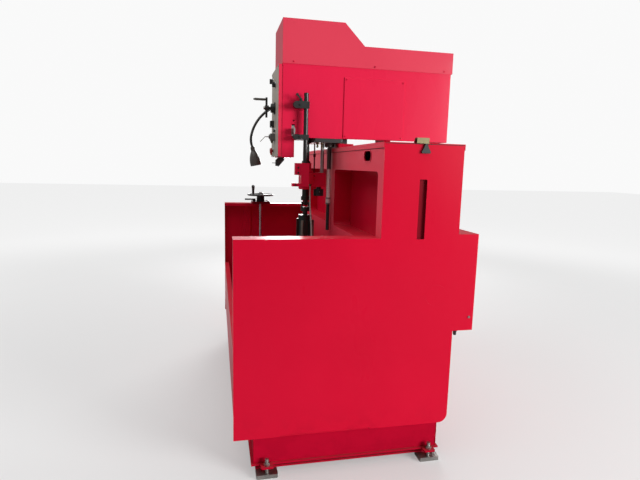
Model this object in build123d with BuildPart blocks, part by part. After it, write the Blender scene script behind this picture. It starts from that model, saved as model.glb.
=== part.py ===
"""Vertical cylinder honing machine: a sheet-metal tank and cabinet on a plinth, with the drive head above.

Millimetres. Z is up from the underside of the feet, X runs across the machine and Y from the operator's
side (minus) to the back (plus). The origin lies on the floor at the middle of the machine's box.
"""

import os
from math import cos, radians, sin, sqrt, tan

from build123d import *

os.makedirs("parts", exist_ok=True)

# Overall layout
MACHINE_WIDTH = 2120.0
TANK_FRONT = -712.0
CABINET_FRONT = -32.0
CABINET_REAR = 363.0
HEAD_WIDTH = 360.0
HEAD_FRONT = -385.0
HEAD_REAR = 703.0
SPINDLE_Y = -200.0
SHEET = 4.0
FIT_GAP = 0.3
RUN_FIT = 0.05

# Heights, each stage standing on the one below it
FOOT_THICKNESS = 20.0
BASE_TOP = 220.0
TANK_FLOOR = BASE_TOP + 120
LIP_TOP = TANK_FLOOR + 312
TANK_TOP = LIP_TOP + 520
CABINET_TOP = TANK_TOP + 444
HEAD_BOTTOM = CABINET_TOP + 54
HEAD_FLOOR = HEAD_BOTTOM + 30
LEG_BOTTOM = HEAD_BOTTOM - 122
HEAD_HEIGHT = 438.0
HOOD_HEIGHT = 253.0
SEAM = HEAD_BOTTOM + HEAD_HEIGHT
HEAD_TOP = SEAM + HOOD_HEIGHT

HALF_WIDTH = MACHINE_WIDTH / 2
HALF_HEAD = HEAD_WIDTH / 2


def facing_front(y):
    """Plane across the machine at depth y, drawn as X and Z; extrusions run towards the operator."""
    return Plane(origin=(0, y, 0), x_dir=(1, 0, 0), z_dir=(0, -1, 0))


def facing_side(x):
    """Plane along the machine at x, drawn as Y and Z; extrusions run towards the right side."""
    return Plane.YZ.offset(x)


# Plinth: a welded ring of folded channel, seen from the side as a skirt over a narrow ledge
BASE_SIDE = HALF_WIDTH - 60
BASE_FRONT = TANK_FRONT + 98
BASE_REAR = CABINET_REAR - 25
BASE_LENGTH = BASE_REAR - BASE_FRONT
BASE_MIDDLE = (BASE_REAR + BASE_FRONT) / 2
BASE_WALL = 8.0
BASE_FLANGE = 70.0
LEDGE_Z = 50.0
LEDGE_OUT = 12.0
SKID_INSET = 32.0
FOOT_YS = (BASE_FRONT + 63, BASE_REAR - 48)
FOOT_X = HALF_WIDTH - 36
EAR_SIZE = (64.0, 60.0)
BOLT_D = 18.0
RINGS = (
    (FOOT_THICKNESS, FOOT_THICKNESS + BASE_WALL, -SKID_INSET + 22, BASE_FLANGE),
    (FOOT_THICKNESS + BASE_WALL, LEDGE_Z, -SKID_INSET, SKID_INSET + BASE_WALL),
    (LEDGE_Z, LEDGE_Z + BASE_WALL, LEDGE_OUT, BASE_FLANGE),
    (LEDGE_Z + BASE_WALL, BASE_TOP - BASE_WALL, 0.0, BASE_WALL),
    (BASE_TOP - BASE_WALL, BASE_TOP, 0.0, BASE_FLANGE),
)
CROSS_XS = (-0.42 * BASE_SIDE, 0.0, 0.42 * BASE_SIDE)
CROSS_FLANGE = 90.0

with BuildPart() as base_frame:
    for bottom, top, out, inset in RINGS:
        with BuildSketch(Plane.XY.offset(bottom)):
            with Locations((0, BASE_MIDDLE)):
                Rectangle(2 * (BASE_SIDE + out), BASE_LENGTH + 2 * out)
                Rectangle(2 * (BASE_SIDE - inset), BASE_LENGTH - 2 * inset, mode=Mode.SUBTRACT)
        extrude(amount=top - bottom)
    with BuildSketch(facing_front(BASE_REAR - BASE_WALL)):
        for x in CROSS_XS:
            with Locations((x, (LEDGE_Z + BASE_TOP) / 2)):
                Rectangle(BASE_WALL, BASE_TOP - LEDGE_Z)
            with Locations((x, BASE_TOP - BASE_WALL / 2), (x, LEDGE_Z + BASE_WALL / 2)):
                Rectangle(CROSS_FLANGE, BASE_WALL)
    extrude(amount=BASE_LENGTH - 2 * BASE_WALL)
    with BuildSketch(Plane.XY.offset(LEDGE_Z)):
        for side in (-1, 1):
            for y in FOOT_YS:
                with Locations((side * (FOOT_X - 8), y)):
                    RectangleRounded(*EAR_SIZE, 8)
    extrude(amount=BASE_WALL)
    with BuildSketch(Plane.XY.offset(LEDGE_Z)):
        for side in (-1, 1):
            for y in FOOT_YS:
                with Locations((side * FOOT_X, y)):
                    Circle(BOLT_D / 2 + 0.5)
    extrude(amount=BASE_WALL, mode=Mode.SUBTRACT)

FOOT_LENGTH = 104.0
FOOT_WIDTH = 78.0
BOLT_SEAT = 5.0
BOLT_TOP = 92.0
NUT_HEIGHT = 14.0
NUT_RADIUS = 16.0

with BuildPart() as foot_plates:
    with BuildSketch():
        for side in (-1, 1):
            for y in FOOT_YS:
                with Locations((side * (FOOT_X - 16), y)):
                    RectangleRounded(FOOT_WIDTH, FOOT_LENGTH, 6)
    extrude(amount=FOOT_THICKNESS)
    with BuildSketch(Plane.XY.offset(FOOT_THICKNESS)):
        for side in (-1, 1):
            for y in FOOT_YS:
                with Locations((side * FOOT_X, y)):
                    Circle(BOLT_D / 2 + FIT_GAP)
    extrude(amount=-BOLT_SEAT, mode=Mode.SUBTRACT)

with BuildPart() as levelling_bolts:
    for side in (-1, 1):
        for y in FOOT_YS:
            with BuildSketch(Plane.XY.offset(FOOT_THICKNESS - BOLT_SEAT)):
                with Locations((side * FOOT_X, y)):
                    Circle(BOLT_D / 2)
            extrude(amount=BOLT_TOP - FOOT_THICKNESS + BOLT_SEAT)
            with BuildSketch(Plane.XY.offset(LEDGE_Z + BASE_WALL)):
                with Locations((side * FOOT_X, y)):
                    RegularPolygon(NUT_RADIUS, 6)
            extrude(amount=NUT_HEIGHT)

# Side panels: one folded sheet each, low beside the tank and tall beside the cabinet
RIM_WIDTH = 100.0
RIM_LIP = 24.0
CORNER_R = 45.0
FRONT_FOLD = 40.0
FOOT_FOLD = 60.0
SLIT_START = TANK_FRONT + 216
SLIT_END = CABINET_FRONT - 16
SLIT_HEIGHT = 7.0
SLOT_Y = (CABINET_FRONT + 178, CABINET_FRONT + 216)
SLOT_Z = (TANK_TOP - 5, TANK_TOP + 277)
SLOT_DEPTH = 16.0
SLOT_SKIN = 2.0
PLUG_Y = CABINET_REAR - 100
PLUG_Z = TANK_TOP - 283
PLUG_D = 106.0
RIB_Y = (TANK_FRONT + 161, TANK_FRONT + 230)
RIB_DEPTH = 14.0


def side_outline():
    """Outline of a side panel in Y and Z, with the round bottom corner at the back."""
    with BuildSketch(mode=Mode.PRIVATE) as outline:
        with BuildLine():
            Polyline(
                (CABINET_REAR - CORNER_R, BASE_TOP),
                (TANK_FRONT, BASE_TOP),
                (TANK_FRONT, TANK_TOP),
                (CABINET_FRONT, TANK_TOP),
                (CABINET_FRONT, CABINET_TOP - SHEET),
                (CABINET_REAR, CABINET_TOP - SHEET),
                (CABINET_REAR, BASE_TOP + CORNER_R),
            )
            RadiusArc((CABINET_REAR, BASE_TOP + CORNER_R), (CABINET_REAR - CORNER_R, BASE_TOP), CORNER_R)
        make_face()
    return outline.sketch


def panel_folds(side):
    """Rim, front fold and foot fold of the panel on the given side, as boxes from low to high corner."""
    inner = side * (HALF_WIDTH - SHEET)
    for width, low, high in (
        (RIM_WIDTH - SHEET, (TANK_FRONT, TANK_TOP - SHEET), (CABINET_FRONT - SHEET, TANK_TOP)),
        (FRONT_FOLD, (TANK_FRONT, LIP_TOP), (TANK_FRONT + SHEET, TANK_TOP - SHEET)),
        (FOOT_FOLD, (BASE_FRONT, BASE_TOP), (BASE_REAR - CORNER_R, BASE_TOP + SHEET)),
    ):
        with BuildSketch(facing_side(inner)) as fold:
            with Locations(((low[0] + high[0]) / 2, (low[1] + high[1]) / 2)):
                Rectangle(high[0] - low[0], high[1] - low[1])
        extrude(fold.sketch, amount=-side * width)
    with BuildSketch(facing_side(side * (HALF_WIDTH - RIM_WIDTH))) as rim_lip:
        with Locations(((TANK_FRONT + CABINET_FRONT - SHEET) / 2, TANK_TOP - RIM_LIP / 2)):
            Rectangle(CABINET_FRONT - SHEET - TANK_FRONT, RIM_LIP)
    extrude(rim_lip.sketch, amount=side * SHEET)


with BuildPart() as right_side_panel:
    with BuildSketch(facing_side(HALF_WIDTH - SHEET)):
        add(side_outline())
        with Locations((sum(SLOT_Y) / 2, sum(SLOT_Z) / 2)):
            RectangleRounded(SLOT_Y[1] - SLOT_Y[0], SLOT_Z[1] - SLOT_Z[0], 4, mode=Mode.SUBTRACT)
        with Locations((PLUG_Y, PLUG_Z)):
            Circle(PLUG_D / 2 + FIT_GAP, mode=Mode.SUBTRACT)
        with Locations(((SLIT_START + SLIT_END) / 2, BASE_TOP + SLIT_HEIGHT / 2)):
            Rectangle(SLIT_END - SLIT_START, SLIT_HEIGHT, mode=Mode.SUBTRACT)
    extrude(amount=SHEET)
    panel_folds(1)
    with BuildSketch(facing_side(HALF_WIDTH - SLOT_DEPTH)):
        with Locations((sum(SLOT_Y) / 2, sum(SLOT_Z) / 2)):
            Rectangle(SLOT_Y[1] - SLOT_Y[0] + 2 * SLOT_SKIN, SLOT_Z[1] - SLOT_Z[0] + 2 * SLOT_SKIN)
    extrude(amount=SLOT_DEPTH - SHEET)
    with BuildSketch(facing_side(HALF_WIDTH - SLOT_DEPTH + SLOT_SKIN)):
        with Locations((sum(SLOT_Y) / 2, sum(SLOT_Z) / 2)):
            RectangleRounded(SLOT_Y[1] - SLOT_Y[0], SLOT_Z[1] - SLOT_Z[0], 4)
    extrude(amount=SLOT_DEPTH - SLOT_SKIN, mode=Mode.SUBTRACT)

with BuildPart() as left_side_panel:
    with BuildSketch(facing_side(-HALF_WIDTH)):
        add(side_outline())
    extrude(amount=SHEET)
    panel_folds(-1)
    with BuildSketch(Plane.XY.offset(TANK_FLOOR + 40)):
        with BuildLine():
            Polyline(
                (SHEET - HALF_WIDTH, RIB_Y[0]),
                (SHEET - HALF_WIDTH + RIB_DEPTH, RIB_Y[0] + 10),
                (SHEET - HALF_WIDTH + RIB_DEPTH, RIB_Y[1] - 10),
                (SHEET - HALF_WIDTH, RIB_Y[1]),
                close=True,
            )
        make_face()
    extrude(amount=TANK_TOP - SHEET - TANK_FLOOR - 40)

PLUG_FLANGE = 8.0
PLUG_BACKING = 2.0

with BuildPart() as round_cover:
    with BuildSketch(facing_side(HALF_WIDTH)):
        with Locations((PLUG_Y, PLUG_Z)):
            Circle(PLUG_D / 2)
    extrude(amount=-SHEET)
    with BuildSketch(facing_side(HALF_WIDTH - SHEET)):
        with Locations((PLUG_Y, PLUG_Z)):
            Circle(PLUG_D / 2 + PLUG_FLANGE)
    extrude(amount=-PLUG_BACKING)

# Tank: front lip and floor folded from one sheet, welded between the side panels
PAN_HALF = HALF_WIDTH - SHEET
LIP_FOLD = 34.0
LIP_DROP = 16.0
DRAIN = (HALF_WIDTH - 360, TANK_FRONT + 50)
DRAIN_D = 60.0
SPOUT_LENGTH = 45.0
SPOUT_WALL = 3.0

with BuildPart() as tank_pan:
    with BuildSketch(facing_side(-PAN_HALF)):
        with BuildLine():
            Polyline(
                (TANK_FRONT + LIP_FOLD, LIP_TOP - LIP_DROP),
                (TANK_FRONT + LIP_FOLD, LIP_TOP),
                (TANK_FRONT, LIP_TOP),
                (TANK_FRONT, TANK_FLOOR),
                (CABINET_FRONT, TANK_FLOOR),
                (CABINET_FRONT, TANK_FLOOR + SHEET),
                (TANK_FRONT + SHEET, TANK_FLOOR + SHEET),
                (TANK_FRONT + SHEET, LIP_TOP - SHEET),
                (TANK_FRONT + LIP_FOLD - SHEET, LIP_TOP - SHEET),
                (TANK_FRONT + LIP_FOLD - SHEET, LIP_TOP - LIP_DROP),
                close=True,
            )
        make_face()
    extrude(amount=2 * PAN_HALF)
    with BuildSketch(Plane.XY.offset(TANK_FLOOR)):
        with Locations(DRAIN):
            Circle(DRAIN_D / 2)
    extrude(amount=-SPOUT_LENGTH)
    with BuildSketch(Plane.XY.offset(TANK_FLOOR + SHEET)):
        with Locations(DRAIN):
            Circle(DRAIN_D / 2 - SPOUT_WALL)
    extrude(amount=-SPOUT_LENGTH - SHEET, mode=Mode.SUBTRACT)

# Cabinet front: one welded wall with a recess either side of the column and an oval hand hole
PILLAR_HALF = 116.0
RECESS_END = HALF_WIDTH - 80
RECESS_BOTTOM = TANK_TOP - 52
RECESS_TOP = CABINET_TOP - 136
RECESS_DEPTH = 119.0
RECESS_R = 25.0
HAND_HOLE = (HALF_WIDTH - 252, CABINET_TOP - 61)
HAND_HOLE_SIZE = (117.0, 50.0)
HAND_RIM = 5.0
HAND_RIM_OUT = 3.0
recess_width = RECESS_END - PILLAR_HALF
recess_x = (RECESS_END + PILLAR_HALF) / 2
recess_z = (RECESS_TOP + RECESS_BOTTOM) / 2
recess_height = RECESS_TOP - RECESS_BOTTOM

with BuildPart() as cabinet_front:
    with BuildSketch(facing_front(CABINET_FRONT + SHEET)):
        with Locations((0, (BASE_TOP + CABINET_TOP) / 2)):
            Rectangle(2 * PAN_HALF, CABINET_TOP - BASE_TOP - 2 * SHEET)
    extrude(amount=SHEET)
    with BuildSketch(facing_front(CABINET_FRONT + RECESS_DEPTH)):
        for side in (-1, 1):
            with Locations((side * recess_x, recess_z)):
                RectangleRounded(recess_width + 2 * SHEET, recess_height + 2 * SHEET, RECESS_R + SHEET)
    extrude(amount=RECESS_DEPTH - SHEET)
    with BuildSketch(facing_front(CABINET_FRONT + RECESS_DEPTH - SHEET)):
        for side in (-1, 1):
            with Locations((side * recess_x, recess_z)):
                RectangleRounded(recess_width, recess_height, RECESS_R)
    extrude(amount=RECESS_DEPTH - SHEET, mode=Mode.SUBTRACT)
    with BuildSketch(facing_front(CABINET_FRONT)):
        with Locations(HAND_HOLE):
            SlotOverall(HAND_HOLE_SIZE[0] + 2 * HAND_RIM, HAND_HOLE_SIZE[1] + 2 * HAND_RIM)
    extrude(amount=HAND_RIM_OUT)
    with BuildSketch(facing_front(CABINET_FRONT - HAND_RIM_OUT)):
        with Locations(HAND_HOLE):
            SlotOverall(*HAND_HOLE_SIZE)
    extrude(amount=-HAND_RIM_OUT - SHEET, mode=Mode.SUBTRACT)

with BuildPart() as cabinet_back:
    with BuildSketch(facing_front(CABINET_REAR)):
        with Locations((0, (BASE_TOP + CORNER_R + CABINET_TOP - SHEET) / 2)):
            Rectangle(2 * PAN_HALF, CABINET_TOP - SHEET - BASE_TOP - CORNER_R)
    extrude(amount=SHEET)
    with BuildSketch(facing_side(-PAN_HALF)):
        with BuildLine():
            Polyline(
                (CABINET_REAR, BASE_TOP + CORNER_R),
                (CABINET_REAR - SHEET, BASE_TOP + CORNER_R),
            )
            RadiusArc(
                (CABINET_REAR - SHEET, BASE_TOP + CORNER_R),
                (CABINET_REAR - CORNER_R, BASE_TOP + SHEET),
                CORNER_R - SHEET,
            )
            Polyline((CABINET_REAR - CORNER_R, BASE_TOP + SHEET), (CABINET_REAR - CORNER_R, BASE_TOP))
            RadiusArc((CABINET_REAR - CORNER_R, BASE_TOP), (CABINET_REAR, BASE_TOP + CORNER_R), -CORNER_R)
        make_face()
    extrude(amount=2 * PAN_HALF)

# Column inside the cabinet with its welded cap, and the lid that closes round the cap's two pads
COLUMN_HALF = 106.0
COLUMN_Y = (CABINET_FRONT + 12, CABINET_REAR - 51)
COLUMN_WALL = 10.0
CAP_BACK = CABINET_REAR - 13
CAP_BASE = 12.0
CAP_TOP = CABINET_TOP - SHEET - 2
CAP_HALF = 100.0
FRONT_PAD = (-12.0, 94.0)
FRONT_PAD_TOP = HEAD_BOTTOM - 25
REAR_PAD = (CABINET_REAR - 63, CABINET_REAR - 18)
LID_GAP = 2.0
LID_LIP = 27.0
column_depth = COLUMN_Y[1] - COLUMN_Y[0]
column_top = CAP_TOP - CAP_BASE

with BuildPart() as column:
    with BuildSketch(Plane.XY.offset(BASE_TOP)):
        with Locations((0, sum(COLUMN_Y) / 2)):
            RectangleRounded(2 * COLUMN_HALF, column_depth, 12)
            RectangleRounded(
                2 * (COLUMN_HALF - COLUMN_WALL), column_depth - 2 * COLUMN_WALL, 4, mode=Mode.SUBTRACT
            )
    extrude(amount=column_top - BASE_TOP)
    with BuildSketch(Plane.XY.offset(column_top)):
        with Locations((0, (COLUMN_Y[0] + CAP_BACK) / 2)):
            RectangleRounded(2 * COLUMN_HALF, CAP_BACK - COLUMN_Y[0], 12)
    extrude(amount=CAP_BASE)
    for (front, back), top in ((FRONT_PAD, FRONT_PAD_TOP), (REAR_PAD, HEAD_FLOOR)):
        with BuildSketch(Plane.XY.offset(CAP_TOP)):
            with Locations((0, (front + back) / 2)):
                RectangleRounded(2 * CAP_HALF, back - front, 10)
        extrude(amount=top - CAP_TOP)

with BuildPart() as cabinet_lid:
    with BuildSketch(Plane.XY.offset(CABINET_TOP - SHEET)):
        with Locations((0, (CABINET_FRONT + CABINET_REAR) / 2)):
            Rectangle(MACHINE_WIDTH, CABINET_REAR - CABINET_FRONT + 2 * SHEET)
        for front, back in (FRONT_PAD, REAR_PAD):
            with Locations((0, (front + back) / 2)):
                RectangleRounded(
                    2 * (CAP_HALF + LID_GAP), back - front + 2 * LID_GAP, 10 + LID_GAP, mode=Mode.SUBTRACT
                )
    extrude(amount=SHEET)
    with BuildSketch(Plane.XY.offset(CABINET_TOP - LID_LIP)):
        for y in (CABINET_FRONT - SHEET / 2, CABINET_REAR + SHEET / 2):
            with Locations((0, y)):
                Rectangle(MACHINE_WIDTH, SHEET)
    extrude(amount=LID_LIP - SHEET)

# Rubber pull latches that hold the lid down at both ends, with their brass keepers
LATCH_Y = CABINET_FRONT + 198
LATCH_TOP = CABINET_TOP - 3
LATCH_BOTTOM = LATCH_TOP - 44
LATCH_THICK = 10.0
LATCH_HALVES = (23.0, 20.0, 12.0, 5.0)
KEEPER_WALL = 4.0
KEEPER_RISE = 26.0
KEEPER_WIDTH = 60.0
KEEPER_LEAD = 12.0
KEEPER_REACH = 30.0
KEEPER_BEND = 14.0

with BuildPart() as latch_straps:
    for side in (-1, 1):
        with BuildSketch(facing_side(side * HALF_WIDTH)):
            with BuildLine():
                Polyline(
                    (LATCH_Y - LATCH_HALVES[0], LATCH_BOTTOM + 6),
                    (LATCH_Y - LATCH_HALVES[1], LATCH_BOTTOM),
                    (LATCH_Y + LATCH_HALVES[1], LATCH_BOTTOM),
                    (LATCH_Y + LATCH_HALVES[0], LATCH_BOTTOM + 6),
                    (LATCH_Y + LATCH_HALVES[2], LATCH_TOP - 20),
                    (LATCH_Y + LATCH_HALVES[3], LATCH_TOP),
                    (LATCH_Y - LATCH_HALVES[3], LATCH_TOP),
                    (LATCH_Y - LATCH_HALVES[2], LATCH_TOP - 20),
                    close=True,
                )
            make_face()
        extrude(amount=side * LATCH_THICK)
    fillet(latch_straps.edges().filter_by(Axis.X).group_by(Axis.Z)[-1], 3)

with BuildPart() as latch_keepers:
    for side in (-1, 1):
        with BuildSketch(facing_front(LATCH_Y + KEEPER_LEAD)):
            with BuildLine():
                Polyline(
                    (side * (HALF_WIDTH + LATCH_THICK), LATCH_TOP),
                    (side * (HALF_WIDTH + LATCH_THICK), LATCH_TOP + KEEPER_RISE),
                    (side * (HALF_WIDTH - KEEPER_BEND), LATCH_TOP + KEEPER_RISE),
                    (side * (HALF_WIDTH - KEEPER_REACH), CABINET_TOP),
                    (side * (HALF_WIDTH - KEEPER_REACH + 2 * KEEPER_WALL), CABINET_TOP),
                    (side * (HALF_WIDTH - KEEPER_BEND + 2), LATCH_TOP + KEEPER_RISE - KEEPER_WALL),
                    (side * (HALF_WIDTH + LATCH_THICK - KEEPER_WALL), LATCH_TOP + KEEPER_RISE - KEEPER_WALL),
                    (side * (HALF_WIDTH + LATCH_THICK - KEEPER_WALL), LATCH_TOP),
                    close=True,
                )
            make_face()
        extrude(amount=KEEPER_WIDTH)

# Switchgear box on the back, flush with the right side
BOX_LEFT = HALF_WIDTH - 500
BOX_REAR = CABINET_REAR + 108
BOX_TOP = TANK_TOP + 18
BOX_BOTTOM = BOX_TOP - 485
BOX_WALL = 3.0
LOCK_Y = BOX_REAR - 24
LOCK_Z = BOX_BOTTOM + 68
LOCK_R = 7.0

with BuildPart() as switchgear_box:
    with BuildSketch(Plane.XY.offset(BOX_BOTTOM)):
        with Locations(((BOX_LEFT + HALF_WIDTH) / 2, (CABINET_REAR + BOX_REAR) / 2)):
            Rectangle(HALF_WIDTH - BOX_LEFT, BOX_REAR - CABINET_REAR)
    extrude(amount=BOX_TOP - BOX_BOTTOM)
    fillet(switchgear_box.edges().filter_by(Axis.Z).group_by(Axis.Y)[-1], 4)
    with BuildSketch(Plane.XY.offset(BOX_BOTTOM + BOX_WALL)):
        with Locations(((BOX_LEFT + HALF_WIDTH) / 2, (CABINET_REAR + BOX_REAR - BOX_WALL) / 2)):
            Rectangle(HALF_WIDTH - BOX_LEFT - 2 * BOX_WALL, BOX_REAR - BOX_WALL - CABINET_REAR)
    extrude(amount=BOX_TOP - BOX_BOTTOM - 2 * BOX_WALL, mode=Mode.SUBTRACT)
    with BuildSketch(facing_side(HALF_WIDTH)):
        with Locations((LOCK_Y, LOCK_Z)):
            Circle(LOCK_R)
    extrude(amount=-BOX_WALL / 2, mode=Mode.SUBTRACT)

# Head casting: foot plate on the column's front pad, floor plate and closed drive case
FRAME_HALF = HALF_HEAD - SHEET
FOOT_PLATE = (SPINDLE_Y + 17, 0.0)
FOOT_HALF = HALF_HEAD - SHEET / 2
FOOT_TONGUE = 48.0
FOOT_PLATE_TOP = HEAD_BOTTOM
FLOOR_PLATE = (HEAD_FRONT + 81, CABINET_REAR - 13)
FLOOR_THICK = 25.0
CASE_HALF = 110.0
CASE_Y = (SPINDLE_Y - 90, SPINDLE_Y + 60)
CASE_TOP = SEAM - 58
SHAFT_R = 20.0
ROD_R = 12.0
ROD_Y = SPINDLE_Y + 108

with BuildPart() as head_frame:
    with BuildSketch(Plane.XY.offset(FRONT_PAD_TOP)):
        with Locations((0, sum(FOOT_PLATE) / 2)):
            RectangleRounded(2 * FOOT_HALF, FOOT_PLATE[1] - FOOT_PLATE[0], 8)
        with Locations((0, FOOT_TONGUE / 2 - 10)):
            Rectangle(2 * CAP_HALF, FOOT_TONGUE + 20)
    extrude(amount=FOOT_PLATE_TOP - FRONT_PAD_TOP)
    with BuildSketch(Plane.XY.offset(FOOT_PLATE_TOP)):
        with Locations((0, (FOOT_PLATE[0] + FOOT_TONGUE) / 2)):
            Rectangle(2 * CAP_HALF, FOOT_TONGUE - FOOT_PLATE[0])
    extrude(amount=HEAD_FLOOR - FOOT_PLATE_TOP)
    with BuildSketch(Plane.XY.offset(HEAD_FLOOR)):
        with Locations((0, sum(FLOOR_PLATE) / 2)):
            Rectangle(2 * FRAME_HALF, FLOOR_PLATE[1] - FLOOR_PLATE[0])
    extrude(amount=FLOOR_THICK)
    with BuildSketch(Plane.XY.offset(HEAD_FLOOR + FLOOR_THICK)):
        with Locations((0, sum(CASE_Y) / 2)):
            RectangleRounded(2 * CASE_HALF, CASE_Y[1] - CASE_Y[0], 20)
    extrude(amount=CASE_TOP - HEAD_FLOOR - FLOOR_THICK)
    with BuildSketch(Plane.XY.offset(FRONT_PAD_TOP)):
        with Locations((0, SPINDLE_Y)):
            Circle(SHAFT_R + RUN_FIT)
    extrude(amount=CASE_TOP - FRONT_PAD_TOP - 8, mode=Mode.SUBTRACT)
    with BuildSketch(Plane.XY.offset(FRONT_PAD_TOP)):
        with Locations((0, ROD_Y)):
            Circle(ROD_R + RUN_FIT)
    extrude(amount=HEAD_FLOOR + FLOOR_THICK - FRONT_PAD_TOP, mode=Mode.SUBTRACT)

CYLINDER_R = 36.0
CYLINDER_TOP = SEAM - 23
ROD_TOP = SEAM - 78
CYLINDER_CAP = 12.0

with BuildPart() as stroke_cylinder:
    with BuildSketch(Plane.XY.offset(HEAD_FLOOR + FLOOR_THICK)):
        with Locations((0, ROD_Y)):
            Circle(CYLINDER_R)
            Circle(ROD_R + RUN_FIT, mode=Mode.SUBTRACT)
    extrude(amount=CYLINDER_TOP - HEAD_FLOOR - FLOOR_THICK)
    with BuildSketch(Plane.XY.offset(CYLINDER_TOP)):
        with Locations((0, ROD_Y)):
            RectangleRounded(2 * CYLINDER_R, 2 * CYLINDER_R, 8)
    extrude(amount=CYLINDER_CAP)

# Head housing: folded box with a leg at the front, open underneath behind the foot plate
LEG_REAR = HEAD_FRONT + 75
HOUSING_REAR = HEAD_REAR
SHORT_SIDE_LIFT = 32.0
TRIP_SLOT_Y = (SPINDLE_Y - 128, SPINDLE_Y - 108)
TRIP_SLOT_Z = (HEAD_BOTTOM + 5, HEAD_BOTTOM + 78)
SIGHT_HOLE = (SPINDLE_Y - 115, HEAD_BOTTOM + 100)
SIGHT_R = 5.0

with BuildPart() as head_housing:
    with BuildSketch(facing_side(-HALF_HEAD)):
        with BuildLine():
            Polyline(
                (HEAD_FRONT, SEAM),
                (HEAD_FRONT, LEG_BOTTOM),
                (LEG_REAR, LEG_BOTTOM),
                (LEG_REAR, HEAD_BOTTOM),
                (HOUSING_REAR, HEAD_BOTTOM),
                (HOUSING_REAR, SEAM),
                close=True,
            )
        make_face()
    extrude(amount=HEAD_WIDTH)
    with BuildSketch(facing_side(SHEET - HALF_HEAD)):
        with BuildLine():
            Polyline(
                (HEAD_FRONT + SHEET, SEAM),
                (HEAD_FRONT + SHEET, LEG_BOTTOM + SHEET),
                (LEG_REAR - SHEET, LEG_BOTTOM + SHEET),
                (LEG_REAR - SHEET, HEAD_BOTTOM + SHEET),
                (LEG_REAR, HEAD_BOTTOM),
                (HOUSING_REAR - SHEET, HEAD_BOTTOM),
                (HOUSING_REAR - SHEET, SEAM),
                close=True,
            )
        make_face()
    extrude(amount=HEAD_WIDTH - 2 * SHEET, mode=Mode.SUBTRACT)
    with BuildSketch(facing_side(-HALF_HEAD)):
        with Locations(((FOOT_PLATE[1] + HOUSING_REAR) / 2, HEAD_BOTTOM + SHORT_SIDE_LIFT / 2)):
            Rectangle(HOUSING_REAR - FOOT_PLATE[1], SHORT_SIDE_LIFT)
    extrude(amount=SHEET, mode=Mode.SUBTRACT)
    with BuildSketch(facing_side(HALF_HEAD)):
        with Locations((sum(TRIP_SLOT_Y) / 2, sum(TRIP_SLOT_Z) / 2)):
            RectangleRounded(TRIP_SLOT_Y[1] - TRIP_SLOT_Y[0], TRIP_SLOT_Z[1] - TRIP_SLOT_Z[0], 3)
        with Locations(SIGHT_HOLE):
            Circle(SIGHT_R)
    extrude(amount=-SHEET, mode=Mode.SUBTRACT)

HOOD_PROUD = 3.0
HOOD_WALL = HOOD_PROUD - FIT_GAP
HOOD_LAP = 5.0
HOOD_LEDGE = 8.0
HOOD_REAR = HEAD_REAR + 9
HOOD_STEP = -8.0
HOOD_LOW = SEAM + 0.49 * HOOD_HEIGHT


def hood_outline(inset):
    """Closed outline of the hood in Y and Z, drawn the given distance inside its skin."""
    slope = HEAD_TOP - HOOD_LOW
    shift = inset * (sqrt(2) - 1)
    with BuildSketch(mode=Mode.PRIVATE) as outline:
        with BuildLine():
            Polyline(
                (HEAD_FRONT - HOOD_PROUD + inset, SEAM - HOOD_LAP),
                (HEAD_FRONT - HOOD_PROUD + inset, HEAD_TOP - inset),
                (HOOD_STEP - shift, HEAD_TOP - inset),
                (HOOD_STEP + slope - shift, HOOD_LOW - inset),
                (HOOD_REAR - inset, HOOD_LOW - inset),
                (HOOD_REAR - inset, SEAM - HOOD_LAP),
                close=True,
            )
        make_face()
    return outline.sketch


with BuildPart() as head_hood:
    with BuildSketch(facing_side(-HALF_HEAD - HOOD_PROUD)):
        add(hood_outline(0))
    extrude(amount=HEAD_WIDTH + 2 * HOOD_PROUD)
    with BuildSketch(facing_side(-HALF_HEAD - FIT_GAP)):
        add(hood_outline(HOOD_WALL))
    extrude(amount=HEAD_WIDTH + 2 * FIT_GAP, mode=Mode.SUBTRACT)
    with BuildSketch(Plane.XY.offset(SEAM)):
        for front, back in (
            (HEAD_FRONT - HOOD_PROUD, HEAD_FRONT + HOOD_LEDGE),
            (HOUSING_REAR - HOOD_LEDGE, HOOD_REAR),
        ):
            with Locations((0, (front + back) / 2)):
                Rectangle(HEAD_WIDTH + HOOD_PROUD, back - front)
    extrude(amount=HOOD_WALL)

COVER_Y = (-4.0, HEAD_REAR - 309)
COVER_Z = (HEAD_BOTTOM + 2, SEAM - 66)
COVER_THICK = 6.0

with BuildPart() as side_cover:
    with BuildSketch(facing_side(HALF_HEAD)):
        with Locations((sum(COVER_Y) / 2, sum(COVER_Z) / 2)):
            RectangleRounded(COVER_Y[1] - COVER_Y[0], COVER_Z[1] - COVER_Z[0], 3)
    extrude(amount=COVER_THICK)
    chamfer(side_cover.faces().sort_by(Axis.X)[-1].edges(), 2.5)

SCREW_R = 5.0
SCREW_HEAD = 3.5
HOOD_SCREW_YS = (HEAD_FRONT + 64, 190.0, HEAD_REAR - 49)
COVER_INSET = 14.0

with BuildPart() as cover_screws:
    for side in (-1, 1):
        with BuildSketch(facing_side(side * (HALF_HEAD + HOOD_PROUD))):
            for y in HOOD_SCREW_YS:
                with Locations((y, SEAM + 8)):
                    Circle(SCREW_R)
        extrude(amount=side * SCREW_HEAD, taper=20)
    with BuildSketch(facing_side(HALF_HEAD + COVER_THICK)):
        for y in (COVER_Y[0] + COVER_INSET, COVER_Y[1] - COVER_INSET):
            for z in (COVER_Z[0] + COVER_INSET, COVER_Z[1] - COVER_INSET):
                with Locations((y, z)):
                    Circle(SCREW_R)
    extrude(amount=SCREW_HEAD, taper=20)

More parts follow.
